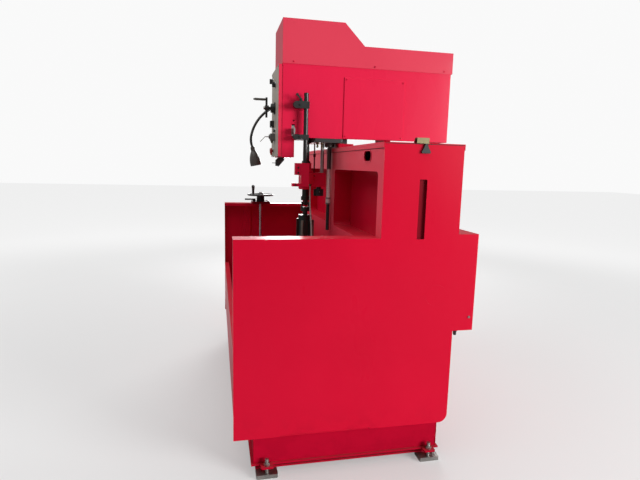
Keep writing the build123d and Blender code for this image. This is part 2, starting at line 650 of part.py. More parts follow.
# Control panel on the front of the head, a shallow pressed box with the hand controls
PANEL_FACE = HEAD_FRONT - 25
PANEL_HALF = HALF_HEAD - 4
PANEL_Z = (LEG_BOTTOM + 4, SEAM - 10)
PANEL_SKIN = 3.0
KNOB_SPOTS = ((-120.0, SEAM - 68), (20.0, SEAM - 108))
KNOB_STEM_R = 4.0
CRANK_Z = SEAM - 251
CRANK_R = 9.0
MODE_SPOT = (-60.0, LEG_BOTTOM + 214)
STOP_SPOT = (22.0, LEG_BOTTOM + 168)
STOP_R = 11.0
ESTOP_SPOT = (-60.0, LEG_BOTTOM + 43)
ESTOP_STEM_R = 8.0
LAMP_SPOT = (-140.0, LEG_BOTTOM + 27)
LAMP_STEM_R = 7.0
PILOT_R = 11.0
PILOT_PROUD = 13.0
NECK_X = -100.0
NECK_Z = SEAM - 240
VALVE_Z = LEG_BOTTOM + 130
STEM_DEPTH = 14.0

with BuildPart() as control_panel:
    with BuildSketch(facing_front(HEAD_FRONT)):
        with Locations((0, sum(PANEL_Z) / 2)):
            Rectangle(2 * PANEL_HALF, PANEL_Z[1] - PANEL_Z[0])
    extrude(amount=HEAD_FRONT - PANEL_FACE)
    fillet(control_panel.faces().sort_by(Axis.Y)[0].edges(), 3)
    with BuildSketch(facing_front(HEAD_FRONT)):
        with Locations((0, sum(PANEL_Z) / 2)):
            Rectangle(2 * (PANEL_HALF - PANEL_SKIN), PANEL_Z[1] - PANEL_Z[0] - 2 * PANEL_SKIN)
    extrude(amount=HEAD_FRONT - PANEL_FACE - PANEL_SKIN, mode=Mode.SUBTRACT)
    with BuildSketch(facing_front(PANEL_FACE)):
        for spot in KNOB_SPOTS + (MODE_SPOT,):
            with Locations(spot):
                Circle(KNOB_STEM_R + RUN_FIT)
        with Locations(STOP_SPOT):
            Circle(STOP_R + RUN_FIT)
        with Locations(ESTOP_SPOT):
            Circle(ESTOP_STEM_R + RUN_FIT)
        with Locations(LAMP_SPOT):
            Circle(LAMP_STEM_R + FIT_GAP)
    extrude(amount=-PANEL_SKIN, mode=Mode.SUBTRACT)

KNOB_R = 17.0
KNOB_LENGTH = 22.0


def turned_knob(x, z):
    """Pointer knob with a stem through the panel skin, revolved about its own axis and ridged."""
    with BuildPart(mode=Mode.PRIVATE) as knob:
        with BuildSketch(facing_front(PANEL_FACE + STEM_DEPTH)):
            with Locations((x, z)):
                Circle(KNOB_STEM_R)
        extrude(amount=STEM_DEPTH + KNOB_LENGTH / 2)
        with BuildSketch(facing_front(PANEL_FACE - FIT_GAP)):
            with Locations((x, z)):
                Circle(KNOB_R)
        extrude(amount=KNOB_LENGTH / 2, taper=6)
        with BuildSketch(facing_front(PANEL_FACE - FIT_GAP)):
            with Locations((x, z)):
                RectangleRounded(9, 2 * KNOB_R - 2, 3)
        extrude(amount=KNOB_LENGTH)
    return knob.part


with BuildPart() as selector_knob_left:
    add(turned_knob(*KNOB_SPOTS[0]))

with BuildPart() as selector_knob_right:
    add(turned_knob(*KNOB_SPOTS[1]))

MODE_SIZE = (38.0, 44.0)
MODE_DEPTH = 24.0

with BuildPart() as mode_switch:
    with BuildSketch(facing_front(PANEL_FACE - FIT_GAP)):
        with Locations(MODE_SPOT):
            RectangleRounded(*MODE_SIZE, 8)
    extrude(amount=MODE_DEPTH)
    fillet(mode_switch.faces().sort_by(Axis.Y)[0].edges(), 4)
    with BuildSketch(facing_front(PANEL_FACE - FIT_GAP)):
        with Locations(MODE_SPOT):
            Circle(KNOB_STEM_R)
    extrude(amount=-STEM_DEPTH)

STOP_PROUD = 12.0

with BuildPart() as stop_button:
    with BuildSketch(facing_front(PANEL_FACE + STEM_DEPTH)):
        with Locations(STOP_SPOT):
            Circle(STOP_R)
    extrude(amount=STEM_DEPTH + STOP_PROUD)
    fillet(stop_button.faces().sort_by(Axis.Y)[0].edges(), 2)

ESTOP_R = 18.0
ESTOP_LIFT = 10.0
ESTOP_HEAD = 14.0

with BuildPart() as emergency_stop:
    with BuildSketch(facing_front(PANEL_FACE + STEM_DEPTH)):
        with Locations(ESTOP_SPOT):
            Circle(ESTOP_STEM_R)
    extrude(amount=STEM_DEPTH + ESTOP_LIFT)
    with BuildSketch(facing_front(PANEL_FACE - ESTOP_LIFT)):
        with Locations(ESTOP_SPOT):
            Circle(ESTOP_R)
    extrude(amount=ESTOP_HEAD)
    fillet(emergency_stop.faces().sort_by(Axis.Y)[0].edges(), 6)

with BuildPart() as pilot_lamp:
    with BuildSketch(facing_front(PANEL_FACE + STEM_DEPTH / 2)):
        with Locations(LAMP_SPOT):
            Circle(LAMP_STEM_R)
    extrude(amount=STEM_DEPTH)
    with BuildSketch(facing_front(PANEL_FACE)):
        with Locations(LAMP_SPOT):
            Circle(PILOT_R)
    extrude(amount=PILOT_PROUD)
    fillet(pilot_lamp.faces().sort_by(Axis.Y)[0].edges(), 8)

BOSS_R = 30.0
BOSS_LENGTH = 26.0
BOSS_FLANGE_R = 38.0
BOSS_FLANGE = 6.0

with BuildPart() as crank_boss:
    with BuildSketch(facing_front(PANEL_FACE)):
        with Locations((0, CRANK_Z)):
            Circle(BOSS_R)
    extrude(amount=BOSS_LENGTH, taper=4)
    with BuildSketch(facing_front(PANEL_FACE)):
        with Locations((0, CRANK_Z)):
            Circle(BOSS_FLANGE_R)
    extrude(amount=BOSS_FLANGE)
    with BuildSketch(facing_front(PANEL_FACE)):
        with Locations((0, CRANK_Z)):
            Circle(CRANK_R + RUN_FIT)
    extrude(amount=BOSS_LENGTH, mode=Mode.SUBTRACT)

CRANK_HUB_Y = PANEL_FACE - 40
CRANK_ARM_Y = PANEL_FACE - 48
CRANK_ARM_THICK = 12.0
CRANK_REACH = 66.0
CRANK_TAIL = 60.0
GRIP_PIN_R = 5.0
GRIP_START = PANEL_FACE - 62
GRIP_END = PANEL_FACE - 133
GRIP_R = 10.0
grip_z = CRANK_Z + CRANK_REACH - 14.0

with BuildPart() as crank:
    with BuildSketch(facing_front(PANEL_FACE)):
        with Locations((0, CRANK_Z)):
            Circle(CRANK_R)
    extrude(amount=PANEL_FACE - CRANK_ARM_Y)
    with BuildSketch(facing_front(CRANK_HUB_Y)):
        with Locations((0, CRANK_Z)):
            Circle(16)
    extrude(amount=CRANK_ARM_THICK + 12)
    with BuildSketch(facing_front(CRANK_ARM_Y)):
        with Locations((0, CRANK_Z + (CRANK_REACH - CRANK_TAIL) / 2)):
            SlotOverall(CRANK_REACH + CRANK_TAIL, 20, rotation=90)
    extrude(amount=CRANK_ARM_THICK)
    with BuildSketch(facing_front(CRANK_ARM_Y)):
        with Locations((0, grip_z)):
            Circle(GRIP_PIN_R)
    extrude(amount=CRANK_ARM_Y - GRIP_END + 4)

with BuildPart() as crank_grip:
    with BuildSketch(Plane(origin=(0, 0, grip_z), x_dir=(0, 1, 0), z_dir=(1, 0, 0))):
        with BuildLine():
            Polyline(
                (GRIP_END, GRIP_PIN_R + RUN_FIT),
                (GRIP_START, GRIP_PIN_R + RUN_FIT),
                (GRIP_START, GRIP_R - 2),
            )
            ThreePointArc(
                (GRIP_START, GRIP_R - 2), ((GRIP_START + GRIP_END) / 2, GRIP_R + 1), (GRIP_END, GRIP_R - 1)
            )
            Line((GRIP_END, GRIP_R - 1), (GRIP_END, GRIP_PIN_R + RUN_FIT))
        make_face()
    revolve(axis=Axis((0, 0, grip_z), (0, 1, 0)))

VALVE_HALF = 26.0
VALVE_BOX_Z = (VALVE_Z - 25, VALVE_Z + 20)
VALVE_FRONT = PANEL_FACE - 37
VALVE_NOSE_R = 14.0
VALVE_NOSE = 8.0
LEVER_R = 3.5
LEVER_STEM_R = 5.0
LEVER_STEM_DEPTH = 18.0
LEVER_STEM_PROUD = 6.0
LEVER_BEND = 9.0
LEVER_KNEE = (VALVE_FRONT - 27, VALVE_Z)
LEVER_TIP = (VALVE_FRONT - 57, VALVE_Z - 32)

with BuildPart() as valve_block:
    with BuildSketch(facing_front(PANEL_FACE)):
        with Locations((0, sum(VALVE_BOX_Z) / 2)):
            RectangleRounded(2 * VALVE_HALF, VALVE_BOX_Z[1] - VALVE_BOX_Z[0], 5)
    extrude(amount=PANEL_FACE - VALVE_FRONT - VALVE_NOSE)
    with BuildSketch(facing_front(VALVE_FRONT + VALVE_NOSE)):
        with Locations((0, VALVE_Z)):
            Circle(VALVE_NOSE_R)
    extrude(amount=VALVE_NOSE)
    with BuildSketch(facing_front(VALVE_FRONT)):
        with Locations((0, VALVE_Z)):
            Circle(LEVER_STEM_R + RUN_FIT)
    extrude(amount=-LEVER_STEM_DEPTH - 2, mode=Mode.SUBTRACT)

with BuildPart() as valve_lever:
    with BuildSketch(facing_front(VALVE_FRONT + LEVER_STEM_DEPTH)):
        with Locations((0, VALVE_Z)):
            Circle(LEVER_STEM_R)
    extrude(amount=LEVER_STEM_DEPTH + LEVER_STEM_PROUD)
    with BuildLine(Plane.YZ) as lever_path:
        FilletPolyline((VALVE_FRONT - 4, VALVE_Z), LEVER_KNEE, LEVER_TIP, radius=LEVER_BEND)
    with BuildSketch(Plane(origin=lever_path.line @ 0, z_dir=lever_path.line % 0)):
        Circle(LEVER_R)
    sweep()

HOOK_HALF = 20.0
HOOK_FACE = HEAD_FRONT - 17
LOOP_R = 11.0
LOOP_WIRE_R = 2.0

with BuildPart() as panel_hook:
    with BuildSketch(facing_side(-HOOK_HALF)):
        with BuildLine():
            Polyline(
                (HEAD_FRONT, LEG_BOTTOM),
                (HEAD_FRONT + 35, LEG_BOTTOM),
                (HEAD_FRONT + 37, LEG_BOTTOM - 16),
                (HEAD_FRONT + 1, LEG_BOTTOM - 58),
                (HOOK_FACE, LEG_BOTTOM - 54),
                (HOOK_FACE, LEG_BOTTOM - 18),
                close=True,
            )
        make_face()
    extrude(amount=2 * HOOK_HALF)
    with Locations((0, HOOK_FACE - LOOP_R, LEG_BOTTOM - 36)):
        Torus(LOOP_R, LOOP_WIRE_R)

# Work lamp on a bendable neck
NECK_R = 8.0
NECK_SEAT_R = 16.0
NECK_SEAT = 14.0
NECK_START = (PANEL_FACE - 10, NECK_Z)
NECK_BEND = (PANEL_FACE - 90, NECK_Z - 68)
NECK_LOW = (PANEL_FACE - 142, NECK_Z - 178)
BALL_SPOT = (PANEL_FACE - 135, NECK_Z - 256)
SHADE_TIP = (PANEL_FACE - 111, NECK_Z - 374)
SHADE_WALL = 1.6
shade_length = sqrt((SHADE_TIP[0] - BALL_SPOT[0]) ** 2 + (SHADE_TIP[1] - BALL_SPOT[1]) ** 2)
SHADE_MOUTH_R = 35.0
SHADE_NECK_R = 14.0
BALL_R = 10.0
BULB_BASE_R = 8.0
BULB_R = 17.0
BULB_Z = -69.0
SOCKET_R = BALL_R + RUN_FIT
shade_plane = Plane(
    origin=(NECK_X, *BALL_SPOT),
    x_dir=(1, 0, 0),
    z_dir=(0, SHADE_TIP[0] - BALL_SPOT[0], SHADE_TIP[1] - BALL_SPOT[1]),
)

with BuildPart() as lamp_neck:
    with BuildSketch(facing_front(PANEL_FACE)):
        with Locations((NECK_X, NECK_Z)):
            Circle(NECK_SEAT_R)
    extrude(amount=NECK_SEAT, taper=8)
    with BuildLine(facing_side(NECK_X)) as neck_path:
        upper_bend = ThreePointArc(NECK_START, NECK_BEND, NECK_LOW)
        TangentArc(upper_bend @ 1, BALL_SPOT, tangent=upper_bend % 1)
    with BuildSketch(Plane(origin=neck_path.line @ 0, z_dir=neck_path.line % 0)):
        Circle(NECK_R)
    sweep()
    with Locations((NECK_X, *BALL_SPOT)):
        Sphere(BALL_R)

shade_profile = Plane(origin=shade_plane.origin, x_dir=(1, 0, 0), z_dir=shade_plane.y_dir)

with BuildPart() as lamp_shade:
    with BuildSketch(shade_profile) as bell:
        with BuildLine():
            RadiusArc((0, -SOCKET_R), (SOCKET_R, 0), -SOCKET_R)
            Polyline((SOCKET_R, 0), (SHADE_NECK_R, 0), (SHADE_NECK_R, -26))
            ThreePointArc((SHADE_NECK_R, -26), (SHADE_NECK_R + 14, -56), (SHADE_MOUTH_R, -shade_length))
            Polyline((SHADE_MOUTH_R, -shade_length), (SHADE_MOUTH_R - SHADE_WALL, -shade_length))
            ThreePointArc(
                (SHADE_MOUTH_R - SHADE_WALL, -shade_length),
                (SHADE_NECK_R + 14 - SHADE_WALL, -57),
                (SHADE_NECK_R - 1, -29),
            )
            Polyline((SHADE_NECK_R - 1, -29), (0, -29), (0, -SOCKET_R))
        make_face()
    revolve(axis=Axis(shade_plane.origin, shade_plane.z_dir))

with BuildPart() as lamp_bulb:
    with BuildSketch(shade_profile):
        with BuildLine():
            Polyline((0, -29), (BULB_BASE_R, -29), (BULB_BASE_R, BULB_Z + 15))
            ThreePointArc((BULB_BASE_R, BULB_Z + 15), (BULB_R, BULB_Z), (0, BULB_Z - BULB_R))
            Line((0, BULB_Z - BULB_R), (0, -29))
        make_face()
    revolve(axis=Axis(shade_plane.origin, shade_plane.z_dir))

# Stroke rod beside the head with the two trip dogs that set the stroke
ROD_SPOT = (HALF_HEAD + 45, SPINDLE_Y - 47)
STROKE_ROD_R = 14.0
STROKE_ROD_Z = (HEAD_BOTTOM - 298, HEAD_BOTTOM + 261)
DOG_WIDTH = 40.0
DOG_X = ROD_SPOT[0] - DOG_WIDTH / 2
DOG_BACK = ROD_SPOT[1] + 17
DOG_FRONT = ROD_SPOT[1] - 60
UPPER_DOG_Z = (HEAD_BOTTOM + 168, HEAD_BOTTOM + 210)
PIVOT = (ROD_SPOT[1] - 33, UPPER_DOG_Z[1] + 11)
PIVOT_R = 4.0
LEVER_END = (ROD_SPOT[1] - 57, PIVOT[1] + 27)
LUG_X = (ROD_SPOT[0] - 6, ROD_SPOT[0] + 6)
LUG_R = 9.0
LEVER_WIDTH = 10.0
LEVER_THICK = 7.0
LEVER_KNOB_R = 8.0
LEVER_KNOB = 10.0

with BuildPart() as stroke_rod:
    with BuildSketch(Plane.XY.offset(STROKE_ROD_Z[0])):
        with Locations(ROD_SPOT):
            Circle(STROKE_ROD_R)
    extrude(amount=STROKE_ROD_Z[1] - STROKE_ROD_Z[0])
    chamfer(stroke_rod.edges().group_by(Axis.Z)[-1], 2)

with BuildPart() as upper_dog:
    with BuildSketch(facing_side(DOG_X)):
        with BuildLine():
            Polyline(
                (DOG_FRONT, UPPER_DOG_Z[1]),
                (DOG_BACK, UPPER_DOG_Z[1]),
                (DOG_BACK, UPPER_DOG_Z[0]),
                (DOG_FRONT, UPPER_DOG_Z[0]),
            )
            ThreePointArc(
                (DOG_FRONT, UPPER_DOG_Z[0]),
                (DOG_FRONT - DOG_WIDTH / 2, sum(UPPER_DOG_Z) / 2),
                (DOG_FRONT, UPPER_DOG_Z[1]),
            )
        make_face()
    extrude(amount=DOG_WIDTH)
    with BuildSketch(facing_side(LUG_X[0])):
        with Locations((PIVOT[0], (UPPER_DOG_Z[1] + PIVOT[1]) / 2)):
            Rectangle(2 * LUG_R, PIVOT[1] - UPPER_DOG_Z[1])
        with Locations(PIVOT):
            Circle(LUG_R)
    extrude(amount=LUG_X[1] - LUG_X[0])
    with BuildSketch(facing_side(LUG_X[0])):
        with Locations(PIVOT):
            Circle(PIVOT_R + RUN_FIT)
    extrude(amount=LUG_X[1] - LUG_X[0], mode=Mode.SUBTRACT)
    with BuildSketch(Plane.XY.offset(UPPER_DOG_Z[0])):
        with Locations(ROD_SPOT):
            Circle(STROKE_ROD_R + RUN_FIT)
    extrude(amount=UPPER_DOG_Z[1] - UPPER_DOG_Z[0], mode=Mode.SUBTRACT)

with BuildPart() as dog_lever:
    with BuildSketch(facing_side(LUG_X[0] - 5)):
        with Locations(PIVOT):
            Circle(PIVOT_R)
    extrude(amount=LUG_X[1] - LUG_X[0] + 12)
    with BuildSketch(facing_side(LUG_X[1] + FIT_GAP)):
        SlotCenterPoint(
            ((PIVOT[0] + LEVER_END[0]) / 2, (PIVOT[1] + LEVER_END[1]) / 2), LEVER_END, LEVER_WIDTH
        )
    extrude(amount=LEVER_THICK)
    with BuildSketch(facing_side(LUG_X[1] + FIT_GAP)):
        with Locations(LEVER_END):
            Circle(LEVER_KNOB_R)
    extrude(amount=LEVER_KNOB)

LOWER_DOG_Z = (HEAD_BOTTOM - 16, HEAD_BOTTOM + 14.5)

with BuildPart() as lower_dog:
    with BuildSketch(facing_side(DOG_X)):
        with BuildLine():
            Polyline(
                (DOG_FRONT - 6, LOWER_DOG_Z[0]),
                (DOG_BACK, LOWER_DOG_Z[0]),
                (DOG_BACK, LOWER_DOG_Z[1]),
                (DOG_FRONT - 4, LOWER_DOG_Z[1]),
            )
            ThreePointArc(
                (DOG_FRONT - 4, LOWER_DOG_Z[1]),
                (DOG_FRONT - DOG_WIDTH / 2, sum(LOWER_DOG_Z) / 2),
                (DOG_FRONT - 6, LOWER_DOG_Z[0]),
            )
        make_face()
    extrude(amount=DOG_WIDTH)
    with BuildSketch(Plane.XY.offset(LOWER_DOG_Z[0])):
        with Locations(ROD_SPOT):
            Circle(STROKE_ROD_R + RUN_FIT)
    extrude(amount=LOWER_DOG_Z[1] - LOWER_DOG_Z[0], mode=Mode.SUBTRACT)

FINGER_Y = (DOG_FRONT - 16, DOG_FRONT - 7)
FINGER_Z = (HEAD_BOTTOM + 17, HEAD_BOTTOM + 53)
FINGER_END = ROD_SPOT[0] + 15
SLIDER_THICK = 6.0

with BuildPart() as trip_finger:
    with BuildSketch(facing_side(FRAME_HALF - SLIDER_THICK)):
        with Locations((sum(FINGER_Y) / 2, sum(FINGER_Z) / 2)):
            RectangleRounded(FINGER_Y[1] - FINGER_Y[0], FINGER_Z[1] - FINGER_Z[0], 4)
    extrude(amount=FINGER_END - FRAME_HALF + SLIDER_THICK)
    with BuildSketch(facing_side(FRAME_HALF - SLIDER_THICK)):
        with Locations((DOG_FRONT - 17, HEAD_BOTTOM + 40)):
            RectangleRounded(32, 60, 3)
    extrude(amount=SLIDER_THICK - RUN_FIT)

# Crosshead: one casting that carries the spindle, the piston rod and the stroke rod
HUB_Z = (HEAD_BOTTOM - 325, HEAD_BOTTOM - 200)
HUB_R = 48.0
COLLAR_TOP = HUB_Z[1] + 47
COLLAR_R = 35.0
REAR_ARM_Z = (HUB_Z[0] + 17, HUB_Z[1] - 15)
REAR_ARM_WIDTH = 70.0
REAR_ARM_END = ROD_Y + 22
SIDE_ARM_Z = (HUB_Z[0] + 40, HUB_Z[1] - 20)
SIDE_ARM_HALF = 40.0
YOKE_BACK = ROD_SPOT[1] + 22
YOKE_WAIST = ROD_SPOT[1] - 25
YOKE_FRONT = ROD_SPOT[1] - 80
YOKE_TOP = HUB_Z[1] + 44
JAW_FRONT = ROD_SPOT[1] - 63
JAW_Z = (STROKE_ROD_Z[0] + 20, YOKE_TOP - 72)
ROD_SEAT = REAR_ARM_Z[1] - 15
KNOB_SPOT = (0.0, ROD_Y - 20)
FEED_STEM_R = 6.0
FEED_STEM_TOP = REAR_ARM_Z[0] + 22
HOSE_R = 4.75
HOSE_TOP = SIDE_ARM_Z[0] + 12
HOSE_ROUTE = (
    (125.0, SPINDLE_Y + 6, HOSE_TOP),
    (125.0, SPINDLE_Y + 6, HOSE_TOP - 97),
    (127.0, SPINDLE_Y + 11, HOSE_TOP - 202),
    (125.0, SPINDLE_Y + 23, HOSE_TOP - 302),
    (124.0, SPINDLE_Y + 21, HOSE_TOP - 397),
)

with BuildPart() as crosshead:
    with BuildSketch(Plane.XY.offset(HUB_Z[0])):
        with Locations((0, SPINDLE_Y)):
            Circle(HUB_R)
    extrude(amount=HUB_Z[1] - HUB_Z[0])
    chamfer(crosshead.edges().group_by(Axis.Z)[0], 5)
    with BuildSketch(Plane.XY.offset(HUB_Z[1])):
        with Locations((0, SPINDLE_Y)):
            Circle(COLLAR_R)
    extrude(amount=COLLAR_TOP - HUB_Z[1])
    with BuildSketch(Plane.XY.offset(REAR_ARM_Z[0])):
        with Locations((0, (SPINDLE_Y + REAR_ARM_END) / 2)):
            RectangleRounded(REAR_ARM_WIDTH, REAR_ARM_END - SPINDLE_Y, 12)
    extrude(amount=REAR_ARM_Z[1] - REAR_ARM_Z[0])
    with BuildSketch(Plane.XY.offset(SIDE_ARM_Z[0])):
        with BuildLine():
            Polyline(
                (0, SPINDLE_Y - SIDE_ARM_HALF),
                (DOG_X / 2, SPINDLE_Y - 1.5 * SIDE_ARM_HALF),
                (DOG_X + 6, YOKE_WAIST),
                (DOG_X + 6, YOKE_BACK - 2),
                (DOG_X / 2, SPINDLE_Y + SIDE_ARM_HALF - 10),
                (0, SPINDLE_Y + SIDE_ARM_HALF),
                close=True,
            )
        make_face()
    extrude(amount=SIDE_ARM_Z[1] - SIDE_ARM_Z[0])
    with BuildSketch(facing_side(DOG_X)):
        with BuildLine():
            Polyline(
                (YOKE_BACK, STROKE_ROD_Z[0]),
                (YOKE_BACK, YOKE_TOP),
                (JAW_FRONT, YOKE_TOP),
                (JAW_FRONT, JAW_Z[1]),
                (YOKE_WAIST, JAW_Z[1]),
                (YOKE_WAIST, JAW_Z[0]),
                (YOKE_FRONT, JAW_Z[0]),
                (YOKE_FRONT, STROKE_ROD_Z[0]),
                close=True,
            )
        make_face()
    extrude(amount=DOG_WIDTH)
    with BuildSketch(Plane.XY.offset(HUB_Z[0])):
        with Locations((0, SPINDLE_Y)):
            Circle(SHAFT_R + RUN_FIT)
    extrude(amount=COLLAR_TOP - HUB_Z[0], mode=Mode.SUBTRACT)
    with BuildSketch(Plane.XY.offset(ROD_SEAT)):
        with Locations((0, ROD_Y)):
            Circle(ROD_R)
    extrude(amount=REAR_ARM_Z[1] - ROD_SEAT, mode=Mode.SUBTRACT)
    with BuildSketch(Plane.XY.offset(STROKE_ROD_Z[0])):
        with Locations(ROD_SPOT):
            Circle(STROKE_ROD_R)
    extrude(amount=YOKE_TOP - STROKE_ROD_Z[0], mode=Mode.SUBTRACT)
    with BuildSketch(Plane.XY.offset(REAR_ARM_Z[0])):
        with Locations(KNOB_SPOT):
            Circle(FEED_STEM_R + RUN_FIT)
    extrude(amount=FEED_STEM_TOP - REAR_ARM_Z[0], mode=Mode.SUBTRACT)
    with BuildSketch(Plane.XY.offset(SIDE_ARM_Z[0])):
        with Locations(HOSE_ROUTE[0][:2]):
            Circle(HOSE_R + FIT_GAP)
    extrude(amount=HOSE_ROUTE[0][2] - SIDE_ARM_Z[0], mode=Mode.SUBTRACT)

with BuildPart() as piston_rod:
    with BuildSketch(Plane.XY.offset(ROD_SEAT)):
        with Locations((0, ROD_Y)):
            Circle(ROD_R)
    extrude(amount=ROD_TOP - ROD_SEAT)

FEED_R = 33.0
FEED_Z = (REAR_ARM_Z[0] - 60, REAR_ARM_Z[0] - 1)
FEED_NECK_R = 17.0
FEED_NECK = 14.0

with BuildPart() as feed_knob:
    with BuildSketch(Plane.XY.offset(FEED_Z[0])):
        with Locations(KNOB_SPOT):
            Circle(FEED_R)
            with PolarLocations(FEED_R + 3, 9):
                Circle(7, mode=Mode.SUBTRACT)
    extrude(amount=FEED_Z[1] - FEED_Z[0] - FEED_NECK)
    with BuildSketch(Plane.XY.offset(FEED_Z[1] - FEED_NECK)):
        with Locations(KNOB_SPOT):
            Circle(FEED_NECK_R)
    extrude(amount=FEED_NECK)
    with BuildSketch(Plane.XY.offset(FEED_Z[1])):
        with Locations(KNOB_SPOT):
            Circle(FEED_STEM_R)
    extrude(amount=FEED_STEM_TOP - FEED_Z[1] - 1)

# Splined spindle, universal joint and hone
CROSS_Z = HUB_Z[0] - 95
PIN_R = 5.0
LUG = (18.0, 27.0)
LUG_HALF = 12.0
YOKE_R = 30.0
UPPER_YOKE = (CROSS_Z + 22, CROSS_Z + 50)
LOWER_YOKE = (CROSS_Z - 50, CROSS_Z - 22)
SPLINE_Z = (COLLAR_TOP + 23, CASE_TOP - 30)

with BuildPart() as spindle_shaft:
    with BuildSketch(Plane.XY.offset(HUB_Z[0])):
        with Locations((0, SPINDLE_Y)):
            Circle(SHAFT_R)
    extrude(amount=SPLINE_Z[1] - HUB_Z[0])
    with BuildSketch(Plane.XY.offset(SPLINE_Z[0])):
        with Locations((0, SPINDLE_Y)):
            with PolarLocations(SHAFT_R, 6):
                Rectangle(5, 6)
    extrude(amount=SPLINE_Z[1] - SPLINE_Z[0], mode=Mode.SUBTRACT)
    for bottom, top, radius in (
        (COLLAR_TOP, COLLAR_TOP + 13, 28.0),
        (UPPER_YOKE[1], HUB_Z[0], 23.0),
        (UPPER_YOKE[0], UPPER_YOKE[1], YOKE_R),
    ):
        with BuildSketch(Plane.XY.offset(bottom)):
            with Locations((0, SPINDLE_Y)):
                Circle(radius)
        extrude(amount=top - bottom)
    for start in (-LUG[1], LUG[0]):
        with BuildSketch(facing_side(start)):
            with Locations((SPINDLE_Y, (CROSS_Z + UPPER_YOKE[0]) / 2)):
                Rectangle(2 * LUG_HALF, UPPER_YOKE[0] - CROSS_Z)
            with Locations((SPINDLE_Y, CROSS_Z)):
                Circle(LUG_HALF)
        extrude(amount=LUG[1] - LUG[0])
    with BuildSketch(facing_side(-LUG[1])):
        with Locations((SPINDLE_Y, CROSS_Z)):
            Circle(PIN_R + RUN_FIT)
    extrude(amount=2 * LUG[1], mode=Mode.SUBTRACT)

with BuildPart() as joint_cross:
    with Locations((0, SPINDLE_Y, CROSS_Z)):
        Box(24, 24, 20)
    chamfer(joint_cross.edges(), 2)
    with BuildSketch(facing_side(-LUG[1])):
        with Locations((SPINDLE_Y, CROSS_Z)):
            Circle(PIN_R)
    extrude(amount=2 * LUG[1])
    with BuildSketch(facing_front(SPINDLE_Y + LUG[1])):
        with Locations((0, CROSS_Z)):
            Circle(PIN_R)
    extrude(amount=2 * LUG[1])

HONE_Z = (CROSS_Z - 275, CROSS_Z - 75)
HONE_R = 45.0
STONE_Z = (HONE_Z[0] + 35, HONE_Z[1] - 35)
STONE_R = (36.0, 60.0)
STONE_WIDTH = 14.0
STONE_ANGLES = (90.0, 210.0, 330.0)
SLOT_FLOOR = 28.0
SHOE_Z = (HONE_Z[0] + 25, HONE_Z[1] - 25)
SHOE_R = 58.0


def radial_bar(angle, inner, outer, width):
    """Rectangle lying along a radius of the spindle, drawn in plan."""
    middle = (inner + outer) / 2
    spot = (middle * cos(radians(angle)), SPINDLE_Y + middle * sin(radians(angle)))
    with BuildSketch(mode=Mode.PRIVATE) as bar:
        with Locations(spot):
            Rectangle(outer - inner, width, rotation=angle)
    return bar.sketch


with BuildPart() as hone_body:
    for bottom, top, radius in (
        (LOWER_YOKE[0], LOWER_YOKE[1], YOKE_R),
        (HONE_Z[1], LOWER_YOKE[0], 15.0),
        (HONE_Z[0], HONE_Z[1], HONE_R),
    ):
        with BuildSketch(Plane.XY.offset(bottom)):
            with Locations((0, SPINDLE_Y)):
                Circle(radius)
        extrude(amount=top - bottom)
    for start in (LUG[1], -LUG[0]):
        with BuildSketch(facing_front(SPINDLE_Y + start)):
            with Locations((0, (CROSS_Z + LOWER_YOKE[1]) / 2)):
                Rectangle(2 * LUG_HALF, CROSS_Z - LOWER_YOKE[1])
            with Locations((0, CROSS_Z)):
                Circle(LUG_HALF)
        extrude(amount=LUG[1] - LUG[0])
    with BuildSketch(facing_front(SPINDLE_Y + LUG[1])):
        with Locations((0, CROSS_Z)):
            Circle(PIN_R + RUN_FIT)
    extrude(amount=2 * LUG[1], mode=Mode.SUBTRACT)
    for angle in STONE_ANGLES:
        with BuildSketch(Plane.XY.offset(SHOE_Z[0])):
            add(radial_bar(angle + 60, SLOT_FLOOR, SHOE_R, 18))
        extrude(amount=SHOE_Z[1] - SHOE_Z[0])
    for angle in STONE_ANGLES:
        with BuildSketch(Plane.XY.offset(STONE_Z[0] - RUN_FIT)):
            add(radial_bar(angle, SLOT_FLOOR, SHOE_R + 10, STONE_WIDTH + 2 * RUN_FIT))
        extrude(amount=STONE_Z[1] - STONE_Z[0] + 2 * RUN_FIT, mode=Mode.SUBTRACT)


def stone(angle):
    """Honing stone in its holder at the given angle round the spindle."""
    with BuildPart(mode=Mode.PRIVATE) as block:
        with BuildSketch(Plane.XY.offset(STONE_Z[0])):
            add(radial_bar(angle, *STONE_R, STONE_WIDTH))
        extrude(amount=STONE_Z[1] - STONE_Z[0])
    return block.part


with BuildPart() as hone_stone_1:
    add(stone(STONE_ANGLES[0]))

with BuildPart() as hone_stone_2:
    add(stone(STONE_ANGLES[1]))

with BuildPart() as hone_stone_3:
    add(stone(STONE_ANGLES[2]))

# Coolant: a fixed pipe under the head and a hose that hangs from the crosshead
PIPE_SPOT = (20.0, -50.0)
PIPE_STEPS = (
    (FRONT_PAD_TOP - 21, FRONT_PAD_TOP, 32.0),
    (FRONT_PAD_TOP - 360, FRONT_PAD_TOP - 21, 13.0),
    (FRONT_PAD_TOP - 390, FRONT_PAD_TOP - 360, 15.0),
    (FRONT_PAD_TOP - 571, FRONT_PAD_TOP - 390, 11.0),
)
PIPE_BORE_R = 8.0
PIPE_BORE_DEPTH = 150.0

with BuildPart() as coolant_pipe:
    for bottom, top, radius in PIPE_STEPS:
        with BuildSketch(Plane.XY.offset(bottom)):
            with Locations(PIPE_SPOT):
                Circle(radius)
        extrude(amount=top - bottom)
    with BuildSketch(Plane.XY.offset(PIPE_STEPS[-1][0])):
        with Locations(PIPE_SPOT):
            Circle(PIPE_BORE_R)
    extrude(amount=PIPE_BORE_DEPTH, mode=Mode.SUBTRACT)

